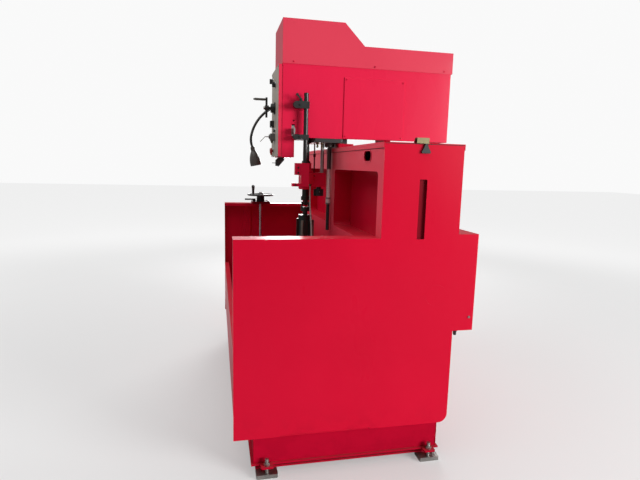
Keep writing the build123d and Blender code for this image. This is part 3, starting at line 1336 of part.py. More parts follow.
hose_points = [Vector(*point) for point in HOSE_ROUTE]
hose_radii = []
for before, corner, after in zip(hose_points, hose_points[1:], hose_points[2:]):
    turn = radians((corner - before).get_angle(after - corner))
    shorter = min((corner - before).length, (after - corner).length)
    hose_radii.append(0.45 * shorter / tan(turn / 2))
print("coolant hose radii", [round(radius, 1) for radius in hose_radii])

with BuildPart() as coolant_hose:
    with BuildLine() as hose_path:
        FilletPolyline(*HOSE_ROUTE, radius=hose_radii)
    with BuildSketch(Plane(origin=hose_path.line @ 0, z_dir=hose_path.line % 0)):
        Circle(HOSE_R)
    sweep()

NOZZLE_R = 8.0
NOZZLE_LENGTH = 66.0
NOZZLE_GRIP = 12.0
NOZZLE_COLLAR = NOZZLE_GRIP + 8
NOZZLE_BORE_R = 3.0
hose_end = hose_points[-1]
hose_down = (hose_points[-1] - hose_points[-2]).normalized()
nozzle_plane = Plane(origin=hose_end - hose_down * NOZZLE_GRIP, z_dir=hose_down)

with BuildPart() as hose_nozzle:
    with BuildSketch(nozzle_plane):
        Circle(NOZZLE_R)
    extrude(amount=NOZZLE_COLLAR)
    with BuildSketch(nozzle_plane.offset(NOZZLE_COLLAR)):
        Circle(NOZZLE_R - 1)
    extrude(amount=NOZZLE_LENGTH - NOZZLE_COLLAR, taper=2)
    with BuildSketch(nozzle_plane):
        Circle(HOSE_R)
    extrude(amount=NOZZLE_GRIP, mode=Mode.SUBTRACT)
    with BuildSketch(nozzle_plane.offset(NOZZLE_GRIP)):
        Circle(NOZZLE_BORE_R)
    extrude(amount=NOZZLE_LENGTH - NOZZLE_GRIP, mode=Mode.SUBTRACT)

# Handwheel on the left rim; its shaft runs down to the gearbox of the table's screw
WHEEL_SPOT = (120 - HALF_WIDTH, -415.0)
WHEEL_R = 111.0
WHEEL_Z = (TANK_TOP + 68, TANK_TOP + 80)
WHEEL_HUB = (TANK_TOP + 50 + 2 * RUN_FIT, TANK_TOP + 90)
WHEEL_HUB_R = 34.0
WHEEL_SHAFT_R = 11.0
WHEEL_COLLAR_R = 13.0
SCREW_Z = TANK_FLOOR + 180
SHAFT_END = SCREW_Z + 14
WHEEL_GRIP = (WHEEL_SPOT[0] + 67, WHEEL_SPOT[1] - 67)
WHEEL_GRIP_STEM_R = 6.0
WHEEL_GRIP_R = 11.0
WHEEL_GRIP_LENGTH = 74.0
WHEEL_GRIP_LIFT = 5.0
BRACKET_R = 33.0
PLATE_X = (-HALF_WIDTH, WHEEL_SPOT[0] + 40)
PLATE_Y = (WHEEL_SPOT[1] - 71, WHEEL_SPOT[1] + 79)
PLATE_TOP = TANK_TOP + 18
BRACKET_TOP = TANK_TOP + 50
CLAMP_SPOT = (WHEEL_SPOT[0], WHEEL_SPOT[1] - 54)
CLAMP_STEM_R = 5.0
CLAMP_HUB_R = 12.0
CLAMP_WIDTH = 14.0
CLAMP_Z = (TANK_TOP + 30, TANK_TOP + 42)
CLAMP_END = CLAMP_SPOT[1] - 71

with BuildPart() as handwheel_bracket:
    with BuildSketch(Plane.XY.offset(TANK_TOP)):
        with Locations((sum(PLATE_X) / 2, sum(PLATE_Y) / 2)):
            RectangleRounded(PLATE_X[1] - PLATE_X[0], PLATE_Y[1] - PLATE_Y[0], 10)
    extrude(amount=PLATE_TOP - TANK_TOP)
    with BuildSketch(Plane.XY.offset(PLATE_TOP)):
        with Locations(WHEEL_SPOT):
            Circle(BRACKET_R)
    extrude(amount=BRACKET_TOP - PLATE_TOP)
    with BuildSketch(Plane.XY.offset(TANK_TOP)):
        with Locations(WHEEL_SPOT):
            Circle(WHEEL_SHAFT_R + RUN_FIT)
        with Locations(CLAMP_SPOT):
            Circle(CLAMP_STEM_R + RUN_FIT)
    extrude(amount=BRACKET_TOP - TANK_TOP, mode=Mode.SUBTRACT)

with BuildPart() as handwheel:
    with BuildSketch(Plane.XY.offset(WHEEL_Z[0])):
        with Locations(WHEEL_SPOT):
            Circle(WHEEL_R)
    extrude(amount=WHEEL_Z[1] - WHEEL_Z[0])
    fillet(handwheel.edges(), 4)
    for bottom, top, radius in (
        (WHEEL_HUB[0], WHEEL_HUB[1], WHEEL_HUB_R),
        (SHAFT_END, WHEEL_HUB[0], WHEEL_SHAFT_R),
        (TANK_TOP - 58, TANK_TOP - 14, WHEEL_COLLAR_R),
    ):
        with BuildSketch(Plane.XY.offset(bottom)):
            with Locations(WHEEL_SPOT):
                Circle(radius)
        extrude(amount=top - bottom)
    with BuildSketch(Plane.XY.offset(WHEEL_Z[1])):
        with Locations(WHEEL_GRIP):
            Circle(WHEEL_GRIP_STEM_R)
    extrude(amount=WHEEL_GRIP_LIFT + 1)
    with BuildSketch(Plane.XY.offset(WHEEL_Z[1] + WHEEL_GRIP_LIFT)):
        with Locations(WHEEL_GRIP):
            Circle(WHEEL_GRIP_R)
    extrude(amount=WHEEL_GRIP_LENGTH, taper=-2.5)
    fillet(handwheel.edges().group_by(Axis.Z)[-1], 6)

with BuildPart() as clamp_lever:
    with BuildSketch(Plane.XY.offset(TANK_TOP + 6)):
        with Locations(CLAMP_SPOT):
            Circle(CLAMP_STEM_R)
    extrude(amount=CLAMP_Z[1] - TANK_TOP - 6)
    with BuildSketch(Plane.XY.offset(PLATE_TOP + RUN_FIT)):
        with Locations(CLAMP_SPOT):
            Circle(CLAMP_HUB_R)
    extrude(amount=CLAMP_Z[1] - PLATE_TOP)
    with BuildSketch(Plane.XY.offset(CLAMP_Z[0])):
        SlotCenterPoint(
            (CLAMP_SPOT[0], (CLAMP_SPOT[1] + CLAMP_END) / 2), (CLAMP_SPOT[0], CLAMP_END), CLAMP_WIDTH
        )
    extrude(amount=CLAMP_Z[1] - CLAMP_Z[0])

# Table bed, screw and work table in the tank
SCREW_Y = WHEEL_SPOT[1]
SCREW_RAD = 12.0
GEARBOX_HALF = 45.0
GEARBOX_Z = (SCREW_Z - 40, SCREW_Z + 40)
SCREW_BORE = 60.0
TANK_BED = TANK_FLOOR + SHEET
RAIL_YS = (-350.0, -70.0)
RAIL_SIZE = (50.0, 40.0)
RAIL_TOP = TANK_FLOOR + 260
RAIL_HALF = HALF_WIDTH - 180
STOOL_XS = (180 - RAIL_HALF, 0.0, RAIL_HALF - 180)
STOOL_LENGTH = 40.0
STOOL_LAP = 12.0
STOOL_WINDOW = (200.0, 150.0)
SCREW_START = WHEEL_SPOT[0] + 15
SCREW_END = RAIL_HALF + 20
TABLE_SIZE = (700.0, 400.0)
TABLE_Y = -245.0
rail_bottom = RAIL_TOP - RAIL_SIZE[1]
TABLE_Z = (RAIL_TOP + RUN_FIT, RAIL_TOP + 60)

with BuildPart() as screw_gearbox:
    for bottom, top, half in ((TANK_BED, TANK_BED + 12, 55.0), (TANK_BED + 12, GEARBOX_Z[0], 33.0)):
        with BuildSketch(Plane.XY.offset(bottom)):
            with Locations(WHEEL_SPOT):
                RectangleRounded(2 * half, 2 * half, 8)
        extrude(amount=top - bottom)
    with BuildSketch(Plane.XY.offset(GEARBOX_Z[0])):
        with Locations(WHEEL_SPOT):
            RectangleRounded(2 * GEARBOX_HALF, 2 * GEARBOX_HALF, 10)
    extrude(amount=GEARBOX_Z[1] - GEARBOX_Z[0])
    with BuildSketch(Plane.XY.offset(SHAFT_END - 4)):
        with Locations(WHEEL_SPOT):
            Circle(WHEEL_SHAFT_R + RUN_FIT)
    extrude(amount=GEARBOX_Z[1] - SHAFT_END + 4, mode=Mode.SUBTRACT)
    with BuildSketch(facing_side(SCREW_START - 2)):
        with Locations((SCREW_Y, SCREW_Z)):
            Circle(SCREW_RAD + RUN_FIT)
    extrude(amount=SCREW_BORE, mode=Mode.SUBTRACT)

with BuildPart() as lead_screw:
    with BuildSketch(facing_side(SCREW_START)):
        with Locations((SCREW_Y, SCREW_Z)):
            Circle(SCREW_RAD)
    extrude(amount=SCREW_END - SCREW_START)

with BuildPart() as table_bed:
    with BuildSketch(facing_side(-RAIL_HALF)):
        for y in RAIL_YS:
            with Locations((y, RAIL_TOP - RAIL_SIZE[1] / 2)):
                Rectangle(*RAIL_SIZE)
    extrude(amount=2 * RAIL_HALF)
    for x in STOOL_XS:
        with BuildSketch(facing_side(x - STOOL_LENGTH / 2)):
            with Locations((sum(RAIL_YS) / 2, (TANK_BED + rail_bottom + STOOL_LAP) / 2)):
                Rectangle(RAIL_YS[1] - RAIL_YS[0] + RAIL_SIZE[0], rail_bottom + STOOL_LAP - TANK_BED)
                Rectangle(*STOOL_WINDOW, mode=Mode.SUBTRACT)
        extrude(amount=STOOL_LENGTH)
    with BuildSketch(facing_side(RAIL_HALF - STOOL_LENGTH)):
        with Locations(((SCREW_Y - 25 + RAIL_YS[1]) / 2, (TANK_BED + rail_bottom) / 2)):
            Rectangle(RAIL_YS[1] + 25 - SCREW_Y, rail_bottom - TANK_BED)
        with Locations((SCREW_Y, SCREW_Z)):
            Circle(SCREW_RAD + RUN_FIT, mode=Mode.SUBTRACT)
    extrude(amount=STOOL_LENGTH)

TEE_YS = (TABLE_Y - 115, TABLE_Y, TABLE_Y + 115)
TEE_NECK = (14.0, 16.0)
TEE_FOOT = (26.0, 12.0)
NUT_HALF = 40.0

with BuildPart() as work_table:
    with BuildSketch(facing_side(-TABLE_SIZE[0] / 2)):
        with Locations((TABLE_Y, sum(TABLE_Z) / 2)):
            Rectangle(TABLE_SIZE[1], TABLE_Z[1] - TABLE_Z[0])
        for y in TEE_YS:
            with Locations((y, TABLE_Z[1] - TEE_NECK[1] / 2)):
                Rectangle(*TEE_NECK, mode=Mode.SUBTRACT)
            with Locations((y, TABLE_Z[1] - TEE_NECK[1] - TEE_FOOT[1] / 2)):
                Rectangle(*TEE_FOOT, mode=Mode.SUBTRACT)
    extrude(amount=TABLE_SIZE[0])
    with BuildSketch(facing_side(-NUT_HALF)):
        with Locations((SCREW_Y, (SCREW_Z - 25 + TABLE_Z[0]) / 2)):
            Rectangle(44, TABLE_Z[0] - SCREW_Z + 25)
        with Locations((SCREW_Y, SCREW_Z)):
            Circle(SCREW_RAD + RUN_FIT, mode=Mode.SUBTRACT)
    extrude(amount=2 * NUT_HALF)

PIECES = {
    "base_frame": base_frame,
    "foot_plates": foot_plates,
    "levelling_bolts": levelling_bolts,
    "right_side_panel": right_side_panel,
    "left_side_panel": left_side_panel,
    "round_cover": round_cover,
    "tank_pan": tank_pan,
    "cabinet_front": cabinet_front,
    "cabinet_back": cabinet_back,
    "column": column,
    "cabinet_lid": cabinet_lid,
    "latch_straps": latch_straps,
    "latch_keepers": latch_keepers,
    "switchgear_box": switchgear_box,
    "head_frame": head_frame,
    "stroke_cylinder": stroke_cylinder,
    "head_housing": head_housing,
    "head_hood": head_hood,
    "side_cover": side_cover,
    "cover_screws": cover_screws,
    "control_panel": control_panel,
    "selector_knob_left": selector_knob_left,
    "selector_knob_right": selector_knob_right,
    "mode_switch": mode_switch,
    "stop_button": stop_button,
    "emergency_stop": emergency_stop,
    "pilot_lamp": pilot_lamp,
    "crank_boss": crank_boss,
    "crank": crank,
    "crank_grip": crank_grip,
    "valve_block": valve_block,
    "valve_lever": valve_lever,
    "panel_hook": panel_hook,
    "lamp_neck": lamp_neck,
    "lamp_shade": lamp_shade,
    "lamp_bulb": lamp_bulb,
    "stroke_rod": stroke_rod,
    "upper_dog": upper_dog,
    "dog_lever": dog_lever,
    "lower_dog": lower_dog,
    "trip_finger": trip_finger,
    "crosshead": crosshead,
    "piston_rod": piston_rod,
    "feed_knob": feed_knob,
    "spindle_shaft": spindle_shaft,
    "joint_cross": joint_cross,
    "hone_body": hone_body,
    "hone_stone_1": hone_stone_1,
    "hone_stone_2": hone_stone_2,
    "hone_stone_3": hone_stone_3,
    "coolant_pipe": coolant_pipe,
    "coolant_hose": coolant_hose,
    "hose_nozzle": hose_nozzle,
    "handwheel_bracket": handwheel_bracket,
    "handwheel": handwheel,
    "clamp_lever": clamp_lever,
    "screw_gearbox": screw_gearbox,
    "lead_screw": lead_screw,
    "table_bed": table_bed,
    "work_table": work_table,
}

for name, piece in PIECES.items():
    piece.part.label = name
    export_step(piece.part, f"parts/{name}.step")
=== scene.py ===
from math import cos, pi, radians, sin

import bmesh
import bpy
from mathutils import Matrix, Vector


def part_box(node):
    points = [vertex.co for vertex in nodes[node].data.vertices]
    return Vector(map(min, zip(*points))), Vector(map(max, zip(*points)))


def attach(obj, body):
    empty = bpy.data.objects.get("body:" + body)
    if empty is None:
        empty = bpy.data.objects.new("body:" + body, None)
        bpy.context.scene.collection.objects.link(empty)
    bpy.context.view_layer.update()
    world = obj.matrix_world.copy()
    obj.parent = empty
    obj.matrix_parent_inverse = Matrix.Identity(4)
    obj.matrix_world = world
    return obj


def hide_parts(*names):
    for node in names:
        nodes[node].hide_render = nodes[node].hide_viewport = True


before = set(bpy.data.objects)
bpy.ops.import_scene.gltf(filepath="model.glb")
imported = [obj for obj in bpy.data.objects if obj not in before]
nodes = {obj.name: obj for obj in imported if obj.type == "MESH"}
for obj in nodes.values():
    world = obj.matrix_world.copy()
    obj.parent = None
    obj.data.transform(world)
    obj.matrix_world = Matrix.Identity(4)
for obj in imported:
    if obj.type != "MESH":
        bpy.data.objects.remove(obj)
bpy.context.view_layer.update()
scene = bpy.context.scene

# The viewpoint: a standing person's height on the machine's right, level with the front of the tank.
# The angles and the lens are those that put the machine's edges on the edges of the photograph.
EYE = Vector((3.179, -0.780, 1.500))
YAW, PITCH, ROLL = radians(12.187), radians(8.710), radians(1.419)
SENSOR, NEAR_CLIP = 36.0, 0.05
FOCAL_PIXELS, FRAME_PIXELS = 483.45, 640.0
LENS = SENSOR * FOCAL_PIXELS / FRAME_PIXELS


def shown(name, data):
    """A new object of the data, linked to the scene."""
    thing = bpy.data.objects.new(name, data)
    scene.collection.objects.link(thing)
    return thing


ahead = Vector((-cos(YAW) * cos(PITCH), sin(YAW) * cos(PITCH), -sin(PITCH)))
level = ahead.cross(Vector((0, 0, 1))).normalized()
above = level.cross(ahead)
right = cos(ROLL) * level + sin(ROLL) * above
upright = cos(ROLL) * above - sin(ROLL) * level
camera_data = bpy.data.cameras.new("camera")
camera_data.lens = LENS
camera_data.sensor_width = SENSOR
camera_data.clip_start = NEAR_CLIP
camera = shown("camera", camera_data)
camera.matrix_world = Matrix.Translation(EYE) @ Matrix((right, upright, -ahead)).transposed().to_4x4()
scene.camera = camera
scene.view_settings.view_transform = "Standard"


# Plain pale floor and a white surround, lit softly from above: one wide lamp overhead, one at the right
# rear, which leaves the tank's inside in shade, and two weak ones, high at the front left and low on the
# left side.
def new_node(tree, kind, settings, values):
    """Outputs of a new node, whose settings come first and whose inputs are set or linked."""
    made = tree.nodes.new(kind)
    for key, value in (settings or {}).items():
        setattr(made, key, value)
    for key, value in (values or {}).items():
        value = getattr(value, "socket", value)
        if isinstance(value, bpy.types.NodeSocket):
            tree.links.new(value, made.inputs[key])
        else:
            made.inputs[key].default_value = value
    return made.outputs


class Wire:
    """One output socket of a material; arithmetic on it adds Math nodes."""

    def __init__(self, tree, socket):
        self.tree = tree
        self.socket = socket

    def node(self, kind, settings=None, values=None, out=0):
        return Wire(self.tree, new_node(self.tree, kind, settings, values)[out])

    def math(self, operation, a, b=0.0):
        return self.node("ShaderNodeMath", {"operation": operation}, {0: a, 1: b})

    def __add__(self, other):
        return self.math("ADD", self, other)

    __radd__ = __add__

    def __sub__(self, other):
        return self.math("SUBTRACT", self, other)

    def __rsub__(self, other):
        return self.math("SUBTRACT", other, self)

    def __mul__(self, other):
        return self.math("MULTIPLY", self, other)

    __rmul__ = __mul__

    def step(self, low, high):
        """0 below low, 1 above high, smooth between."""
        return self.node(
            "ShaderNodeMapRange", {"interpolation_type": "SMOOTHSTEP"}, {0: self, 1: low, 2: high}
        )

    def within(self, start, end):
        """1 between two soft edges, each from a low to a high, and 0 outside them."""
        return self.step(*start) - self.step(*end)

    def axis(self, number):
        """The X, Y or Z part of this vector, as 0, 1 or 2."""
        return self.node("ShaderNodeSeparateXYZ", values={0: self}, out=number)

    def noise(self, scale, detail=2.0, rough=0.5):
        """Noise over this vector, about 0.3 to 0.7."""
        return self.node(
            "ShaderNodeTexNoise", values={"Vector": self, "Scale": scale, "Detail": detail, "Roughness": rough}
        )

    def stretched(self, scale):
        """This vector times a factor on each axis."""
        return self.node("ShaderNodeMapping", values={"Vector": self, "Scale": scale})

    def mix(self, a, b):
        """Colour a where this is 0, colour b where it is 1."""
        pair = [(*c, 1.0) if isinstance(c, tuple) else c for c in (a, b)]
        return self.node("ShaderNodeMix", {"data_type": "RGBA"}, {0: self, 6: pair[0], 7: pair[1]}, out=2)

    def relief(self, strength, distance):
        """Bump normal from this height, with the distance in metres."""
        return self.node("ShaderNodeBump", values={"Height": self, "Strength": strength, "Distance": distance})


def new_material(name):
    """An empty material: itself, its Principled node, and its object coordinates and normal as wires."""
    material = bpy.data.materials.new(name)
    material.use_nodes = True
    tree = material.node_tree
    place = tree.nodes.new("ShaderNodeTexCoord")
    shader = tree.nodes["Principled BSDF"]
    return material, shader, Wire(tree, place.outputs["Object"]), Wire(tree, place.outputs["Normal"])


def connect(shader, **inputs):
    """Sets or links the Principled inputs named with underscores for spaces."""
    for key, value in inputs.items():
        socket = shader.inputs[key.replace("_", " ")]
        if isinstance(value, Wire):
            value.tree.links.new(value.socket, socket)
        else:
            socket.default_value = (*value, 1.0) if isinstance(value, tuple) else value


FLOOR_SIZE, FLOOR_GREY, FLOOR_ROUGH, FLOOR_PATCHES = 30, (0.52, 0.52, 0.52), 0.8, 2.0
FLOOR_NEAR, FLOOR_FAR, FADE_START, FADE_END = 0.26, 0.74, 1.5, 8.0
WORLD_LIGHT, WORLD_SHINE, WORLD_SEEN = 0.20, 0.32, 0.95

floor_mesh = bpy.data.meshes.new("floor")
floor_corners = [(x * FLOOR_SIZE, y * FLOOR_SIZE, 0) for x, y in ((-1, -1), (1, -1), (1, 1), (-1, 1))]
floor_mesh.from_pydata(floor_corners, [], [(0, 1, 2, 3)])
floor = shown("floor", floor_mesh)
floor_material, floor_shader, floor_place, _ = new_material("floor")
floor_rays = floor_material.node_tree.nodes.new("ShaderNodeLightPath").outputs
floor_seen = Wire(floor_material.node_tree, floor_rays["Is Camera Ray"])
away = floor_place.node("ShaderNodeVectorMath", {"operation": "LENGTH"}, {0: floor_place}, "Value")
glow = (FLOOR_NEAR + (FLOOR_FAR - FLOOR_NEAR) * away.step(FADE_START, FADE_END)) * floor_seen
connect(
    floor_shader,
    Base_Color=FLOOR_GREY,
    Roughness=FLOOR_ROUGH + 0.1 * floor_place.noise(FLOOR_PATCHES),
    Emission_Color=glow.mix((0.0, 0.0, 0.0), (1.0, 1.0, 1.0)),
    Emission_Strength=1.0,
)
floor_mesh.materials.append(floor_material)

world = bpy.data.worlds.new("surround")
world.use_nodes = True
scene.world = world
surround = world.node_tree
rays = surround.nodes.new("ShaderNodeLightPath").outputs
camera_ray, glossy_ray, clear_ray = (
    Wire(surround, rays[kind]) for kind in ("Is Camera Ray", "Is Glossy Ray", "Is Transmission Ray")
)
seen = camera_ray.math("MAXIMUM", camera_ray, clear_ray)
strength = WORLD_LIGHT + (WORLD_SEEN - WORLD_LIGHT) * seen + (WORLD_SHINE - WORLD_LIGHT) * glossy_ray
sky = surround.nodes["Background"]
sky.inputs["Color"].default_value = (1, 1, 1, 1)
surround.links.new(strength.socket, sky.inputs["Strength"])


def soft_lamp(name, place, aim, size, power, spread=180):
    """A rectangular lamp, its light kept within the spread in degrees."""
    data = bpy.data.lights.new(name, "AREA")
    data.spread = radians(spread)
    data.shape = "RECTANGLE"
    data.size, data.size_y = size
    data.energy = power
    lamp = shown(name, data)
    lamp.location = place
    lamp.rotation_euler = (Vector(aim) - Vector(place)).to_track_quat("-Z", "Y").to_euler()


soft_lamp("roof_light", place=(0.5, -1.2, 5.2), aim=(0, 0, 1), size=(6, 6), power=140)
soft_lamp("side_light", place=(5.8, 5.4, 2.4), aim=(0.5, 0, 1.2), size=(3.6, 2.6), power=250, spread=110)
soft_lamp("front_light", place=(-2.0, -3.6, 4.6), aim=(0, 0, 1.4), size=(3, 2), power=60)
soft_lamp("left_light", place=(-5.8, 1.6, 2.4), aim=(0, 0, 1.2), size=(3.0, 2.4), power=90, spread=110)

# Tank and cabinet sheets: four millimetre steel, folded with rounded edges and welded, then sprayed in
# one thick coat of gloss crimson that has a faint orange peel, rubbed patches and a few fine scratches.
CRIMSON, CRIMSON_DEEP = (0.620, 0.0040, 0.0300), (0.560, 0.0034, 0.0255)
PALE_DUST = (0.46, 0.30, 0.28)
PAINT_GLOSS, COAT_ROUGH, SCRATCH, SKIN_STRENGTH, SKIN_RISE = 0.06, 0.10, 0.12, 0.12, 0.0006
FOLD, FACET_GAP, SHARP_EDGE = 0.0014, 0.00002, radians(50)
UP_FACING, FRONT_FACING = (0.60, 0.95), (-0.95, -0.60)


def sheet_paint(
    name, colour, deep, rough=0.30, coat=0.06, dust=0.08, low_darkening=0.2, peel=0.35, gloss=PAINT_GLOSS, others=()
):
    """Sprayed paint with peel, soft dents, dust on top faces, rubbed patches, scratches, darker patches low down.

    others are further colours, each with a rule that finds it from the place and the normal.
    """
    material, shader, place, normal = new_material(name)
    cloudy = place.noise(9.0, 4.0, 0.6)
    rubbed = place.stretched((1.0, 1.0, 0.35)).noise(5.0, 3.0, 0.55)
    top_face = normal.axis(2).step(*UP_FACING)
    settled = top_face * (0.4 + cloudy.step(0.35, 0.7)) * dust
    lines = place.stretched((3.0, 3.0, 60.0)).noise(4.0, 6.0, 0.7).step(0.67, 0.70)
    scratch = lines * place.noise(2.3, 1.0).step(0.54, 0.66)
    low = (1.0 - place.axis(2).step(0.02, 0.42)) * cloudy.step(0.45, 0.62) * low_darkening
    paint = (0.75 * place.noise(1.1, 3.0).step(0.35, 0.65) + 0.25 * rubbed).mix(deep, colour)
    for other, rule in others:
        paint = rule(place, normal).mix(paint, other)
    broken = tuple(min(1.0, 1.5 * c + 0.05) for c in colour)
    worn = (scratch * SCRATCH).mix(settled.mix(paint, PALE_DUST), broken)
    soft_dents = place.noise(4.5, 2.0) * (6.0 * peel)
    skin = place.noise(60.0, 3.0) * 0.15 + place.noise(420.0, 1.0) * peel + soft_dents
    connect(
        shader,
        Base_Color=low.mix(worn, tuple(0.22 * c for c in deep)),
        Roughness=rough + 0.3 * settled + 0.14 * (rubbed - 0.5) + 0.2 * low + 0.15 * scratch,
        Coat_Weight=coat * (1.0 - 0.8 * settled.step(0.0, 0.3)),
        Coat_Roughness=COAT_ROUGH,
        Specular_IOR_Level=gloss,
        Normal=skin.relief(SKIN_STRENGTH, SKIN_RISE),
    )
    return material


def dress(material, *names, fold=0.0):
    """Gives CAD nodes one material, and rounds their sharp edges where the real edge's radius is given."""
    for name in names:
        nodes[name].data.materials.clear()
        nodes[name].data.materials.append(material)
        if fold:
            join = nodes[name].modifiers.new("join_facets", "WELD")
            join.merge_threshold = FACET_GAP
            edge = nodes[name].modifiers.new("rounded_edges", "BEVEL")
            edge.width, edge.segments, edge.limit_method = fold, 2, "ANGLE"
            edge.angle_limit = SHARP_EDGE
            edge.harden_normals = True


# Painted highlight on the front stretch of the right panel's rim.
RIM_HIGHLIGHT_PINK, RIM_HIGHLIGHT_SHARE = (0.95, 0.40, 0.45), 0.68
RIM_X, RIM_Y, RIM_Z = (0.90, 0.95), (-0.44, -0.38), (1.10, 1.15)
# Painted light: a paler red on the upper part of the cabinet's front.
LIT_FRONT_RED, SHEEN = (0.98, 0.10, 0.15), 0.85
SHEEN_YS, SHEEN_Z = ((-0.045, -0.040), (-0.028, -0.024)), (0.85, 1.30)
POCKET_RED = (0.200, 0.0025, 0.0110)
POCKET_XS, POCKET_YS = ((1.0400, 1.0410), (1.0575, 1.0590)), ((0.1440, 0.1450), (0.1850, 0.1860))
POCKET_ZS = ((1.1650, 1.1660), (1.4500, 1.4510))


def rim_highlight(place, normal):
    """The right panel's rim at the front: a painted highlight, pale pink, for the bright reflection along its top."""
    upward = normal.axis(2).step(*UP_FACING) * place.axis(2).step(*RIM_Z)
    return upward * place.axis(0).step(*RIM_X) * (1.0 - place.axis(1).step(*RIM_Y)) * RIM_HIGHLIGHT_SHARE


def lit_front_band(place, normal):
    """The cabinet's upper front, painted paler than the sheets around it: painted light for the light on it."""
    forward = (1.0 - normal.axis(1).step(*FRONT_FACING)) * place.axis(2).step(*SHEEN_Z)
    return forward * place.axis(1).within(*SHEEN_YS) * SHEEN


def slot_pocket(place, _):
    """Inside of the pocket behind the right panel's slot, which light hardly reaches."""
    across, along, upward = (place.axis(number) for number in range(3))
    return across.within(*POCKET_XS) * along.within(*POCKET_YS) * upward.within(*POCKET_ZS)


# Painted light in the crimson: a rim highlight and a paler upper front; painted shade in the slot's pocket.
crimson_sheet = sheet_paint(
    "crimson_sheet",
    CRIMSON,
    CRIMSON_DEEP,
    others=((RIM_HIGHLIGHT_PINK, rim_highlight), (POCKET_RED, slot_pocket), (LIT_FRONT_RED, lit_front_band)),
)
dress(crimson_sheet, "right_side_panel", "left_side_panel", "tank_pan", "cabinet_front", fold=FOLD)
dress(crimson_sheet, "cabinet_back", "column", "round_cover")


# Weld beads where the tank's sheets meet the side panels and each other: short overlapping ripples laid
# by hand along the inside corners and up the plinth's corners, sprayed over with the sheets.
class Tree:
    """A Geometry Nodes tree under construction, with named inputs and one material at its end."""

    def __init__(self, name, **inputs):
        self.group = bpy.data.node_groups.new(name, "GeometryNodeTree")
        sockets = self.group.interface
        sockets.new_socket("Geometry", in_out="INPUT", socket_type="NodeSocketGeometry")
        self.inputs = {}
        for key, value in inputs.items():
            kind = "NodeSocketInt" if isinstance(value, int) else "NodeSocketFloat"
            self.inputs[sockets.new_socket(key, in_out="INPUT", socket_type=kind).identifier] = value
        sockets.new_socket("Geometry", in_out="OUTPUT", socket_type="NodeSocketGeometry")
        self.given = self.group.nodes.new("NodeGroupInput").outputs
        self.start = self.given[0]

    def node(self, kind, settings=None, values=None, out=0):
        return new_node(self.group, kind, settings, values)[out]

    def path(self):
        """The host's edges as curves."""
        return self.node("GeometryNodeMeshToCurve", values={0: self.start})

    def on_points(self, shape, points=None, **values):
        """The shape on each point, with its Z along the point's facing unless a rotation is given."""
        if "Rotation" not in values:
            facing = self.node("GeometryNodeInputNamedAttribute", {"data_type": "FLOAT_VECTOR"}, {"Name": "facing"})
            values["Rotation"] = self.node("FunctionNodeAlignRotationToVector", {"axis": "Z"}, {"Vector": facing})
        values.update(Points=points or self.start, Instance=shape)
        return self.node("GeometryNodeInstanceOnPoints", values=values)

    def cylinder(self, sides, radius, depth):
        """A capped cylinder whose radius and depth are named inputs."""
        sizes = {"Vertices": sides, "Radius": self.given[radius], "Depth": self.given[depth]}
        return self.node("GeometryNodeMeshCylinder", {"fill_type": "NGON"}, sizes)

    def skin(self, line, sides, radius):
        """A closed tube round the line, whose radius is a named input."""
        sizes = {"Resolution": sides, "Radius": self.given[radius]}
        section = self.node("GeometryNodeCurvePrimitiveCircle", values=sizes)
        return self.node("GeometryNodeCurveToMesh", values={0: line, 1: section, "Fill Caps": True})

    def grow(self, name, result, material, points, edges=(), facings=()):
        """Runs the tree on a host of points and edges, and returns its result as one plain mesh object."""
        solid = self.node("GeometryNodeRealizeInstances", values={0: result})
        skinned = self.node("GeometryNodeSetMaterial", values={0: solid, "Material": material})
        self.group.links.new(skinned, self.group.nodes.new("NodeGroupOutput").inputs[0])
        host = bpy.data.meshes.new(name + "_host")
        host.from_pydata(points, edges, [])
        if facings:
            facing = host.attributes.new("facing", "FLOAT_VECTOR", "POINT")
            facing.data.foreach_set("vector", [part for vector in facings for part in vector])
        carrier = shown(name + "_host", host)
        rule = carrier.modifiers.new("rule", "NODES")
        rule.node_group = self.group
        for identifier, value in self.inputs.items():
            rule[identifier] = value
        mesh = bpy.data.meshes.new_from_object(carrier.evaluated_get(bpy.context.evaluated_depsgraph_get()))
        carrier.modifiers.remove(rule)
        bpy.data.objects.remove(carrier)
        mesh.name = name
        return shown(name, mesh)


def fixed(piece, body):
    """The piece moves with the body."""
    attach(piece, body)
    return piece


def strung(paths):
    """Points and edges of several open lines."""
    points, edges = [], []
    for path in paths:
        edges += [(i + len(points), i + len(points) + 1) for i in range(len(path) - 1)]
        points += path
    return points, edges


BEAD, RIPPLE_PITCH, RIPPLE_LEAST, RIPPLE_MOST, RIPPLE_SEED = 0.0045, 0.0036, 0.50, 0.68, 7
CORNER_X, PAN_Y, PAN_Z, PAN_TOP, WALL_Y, WALL_TOP = 1.0550, -0.7070, 0.3450, 0.646, -0.0330, 1.145


def weld(name, paths, material):
    """A row of ripples along each path, about a bead's width across."""
    rule = Tree(name + "_rule", Pitch=RIPPLE_PITCH, Bead=BEAD, Seed=RIPPLE_SEED)
    pitch, bead, seed = (rule.given[key] for key in ("Pitch", "Bead", "Seed"))
    dots = rule.node("GeometryNodeResampleCurve", {"mode": "LENGTH"}, {0: rule.path(), "Length": pitch})
    ripple = rule.node("GeometryNodeMeshIcoSphere", values={"Radius": bead, "Subdivisions": 2})
    sizes = {2: RIPPLE_LEAST, 3: RIPPLE_MOST, "Seed": seed}
    size = rule.node("FunctionNodeRandomValue", {"data_type": "FLOAT"}, sizes, out=1)
    laid = rule.on_points(ripple, dots, Rotation=(0.0, 0.0, 0.0), Scale=size)
    smooth = rule.node("GeometryNodeSetShadeSmooth", values={0: laid})
    fixed(rule.grow(name, smooth, material, *strung(paths)), "machine")


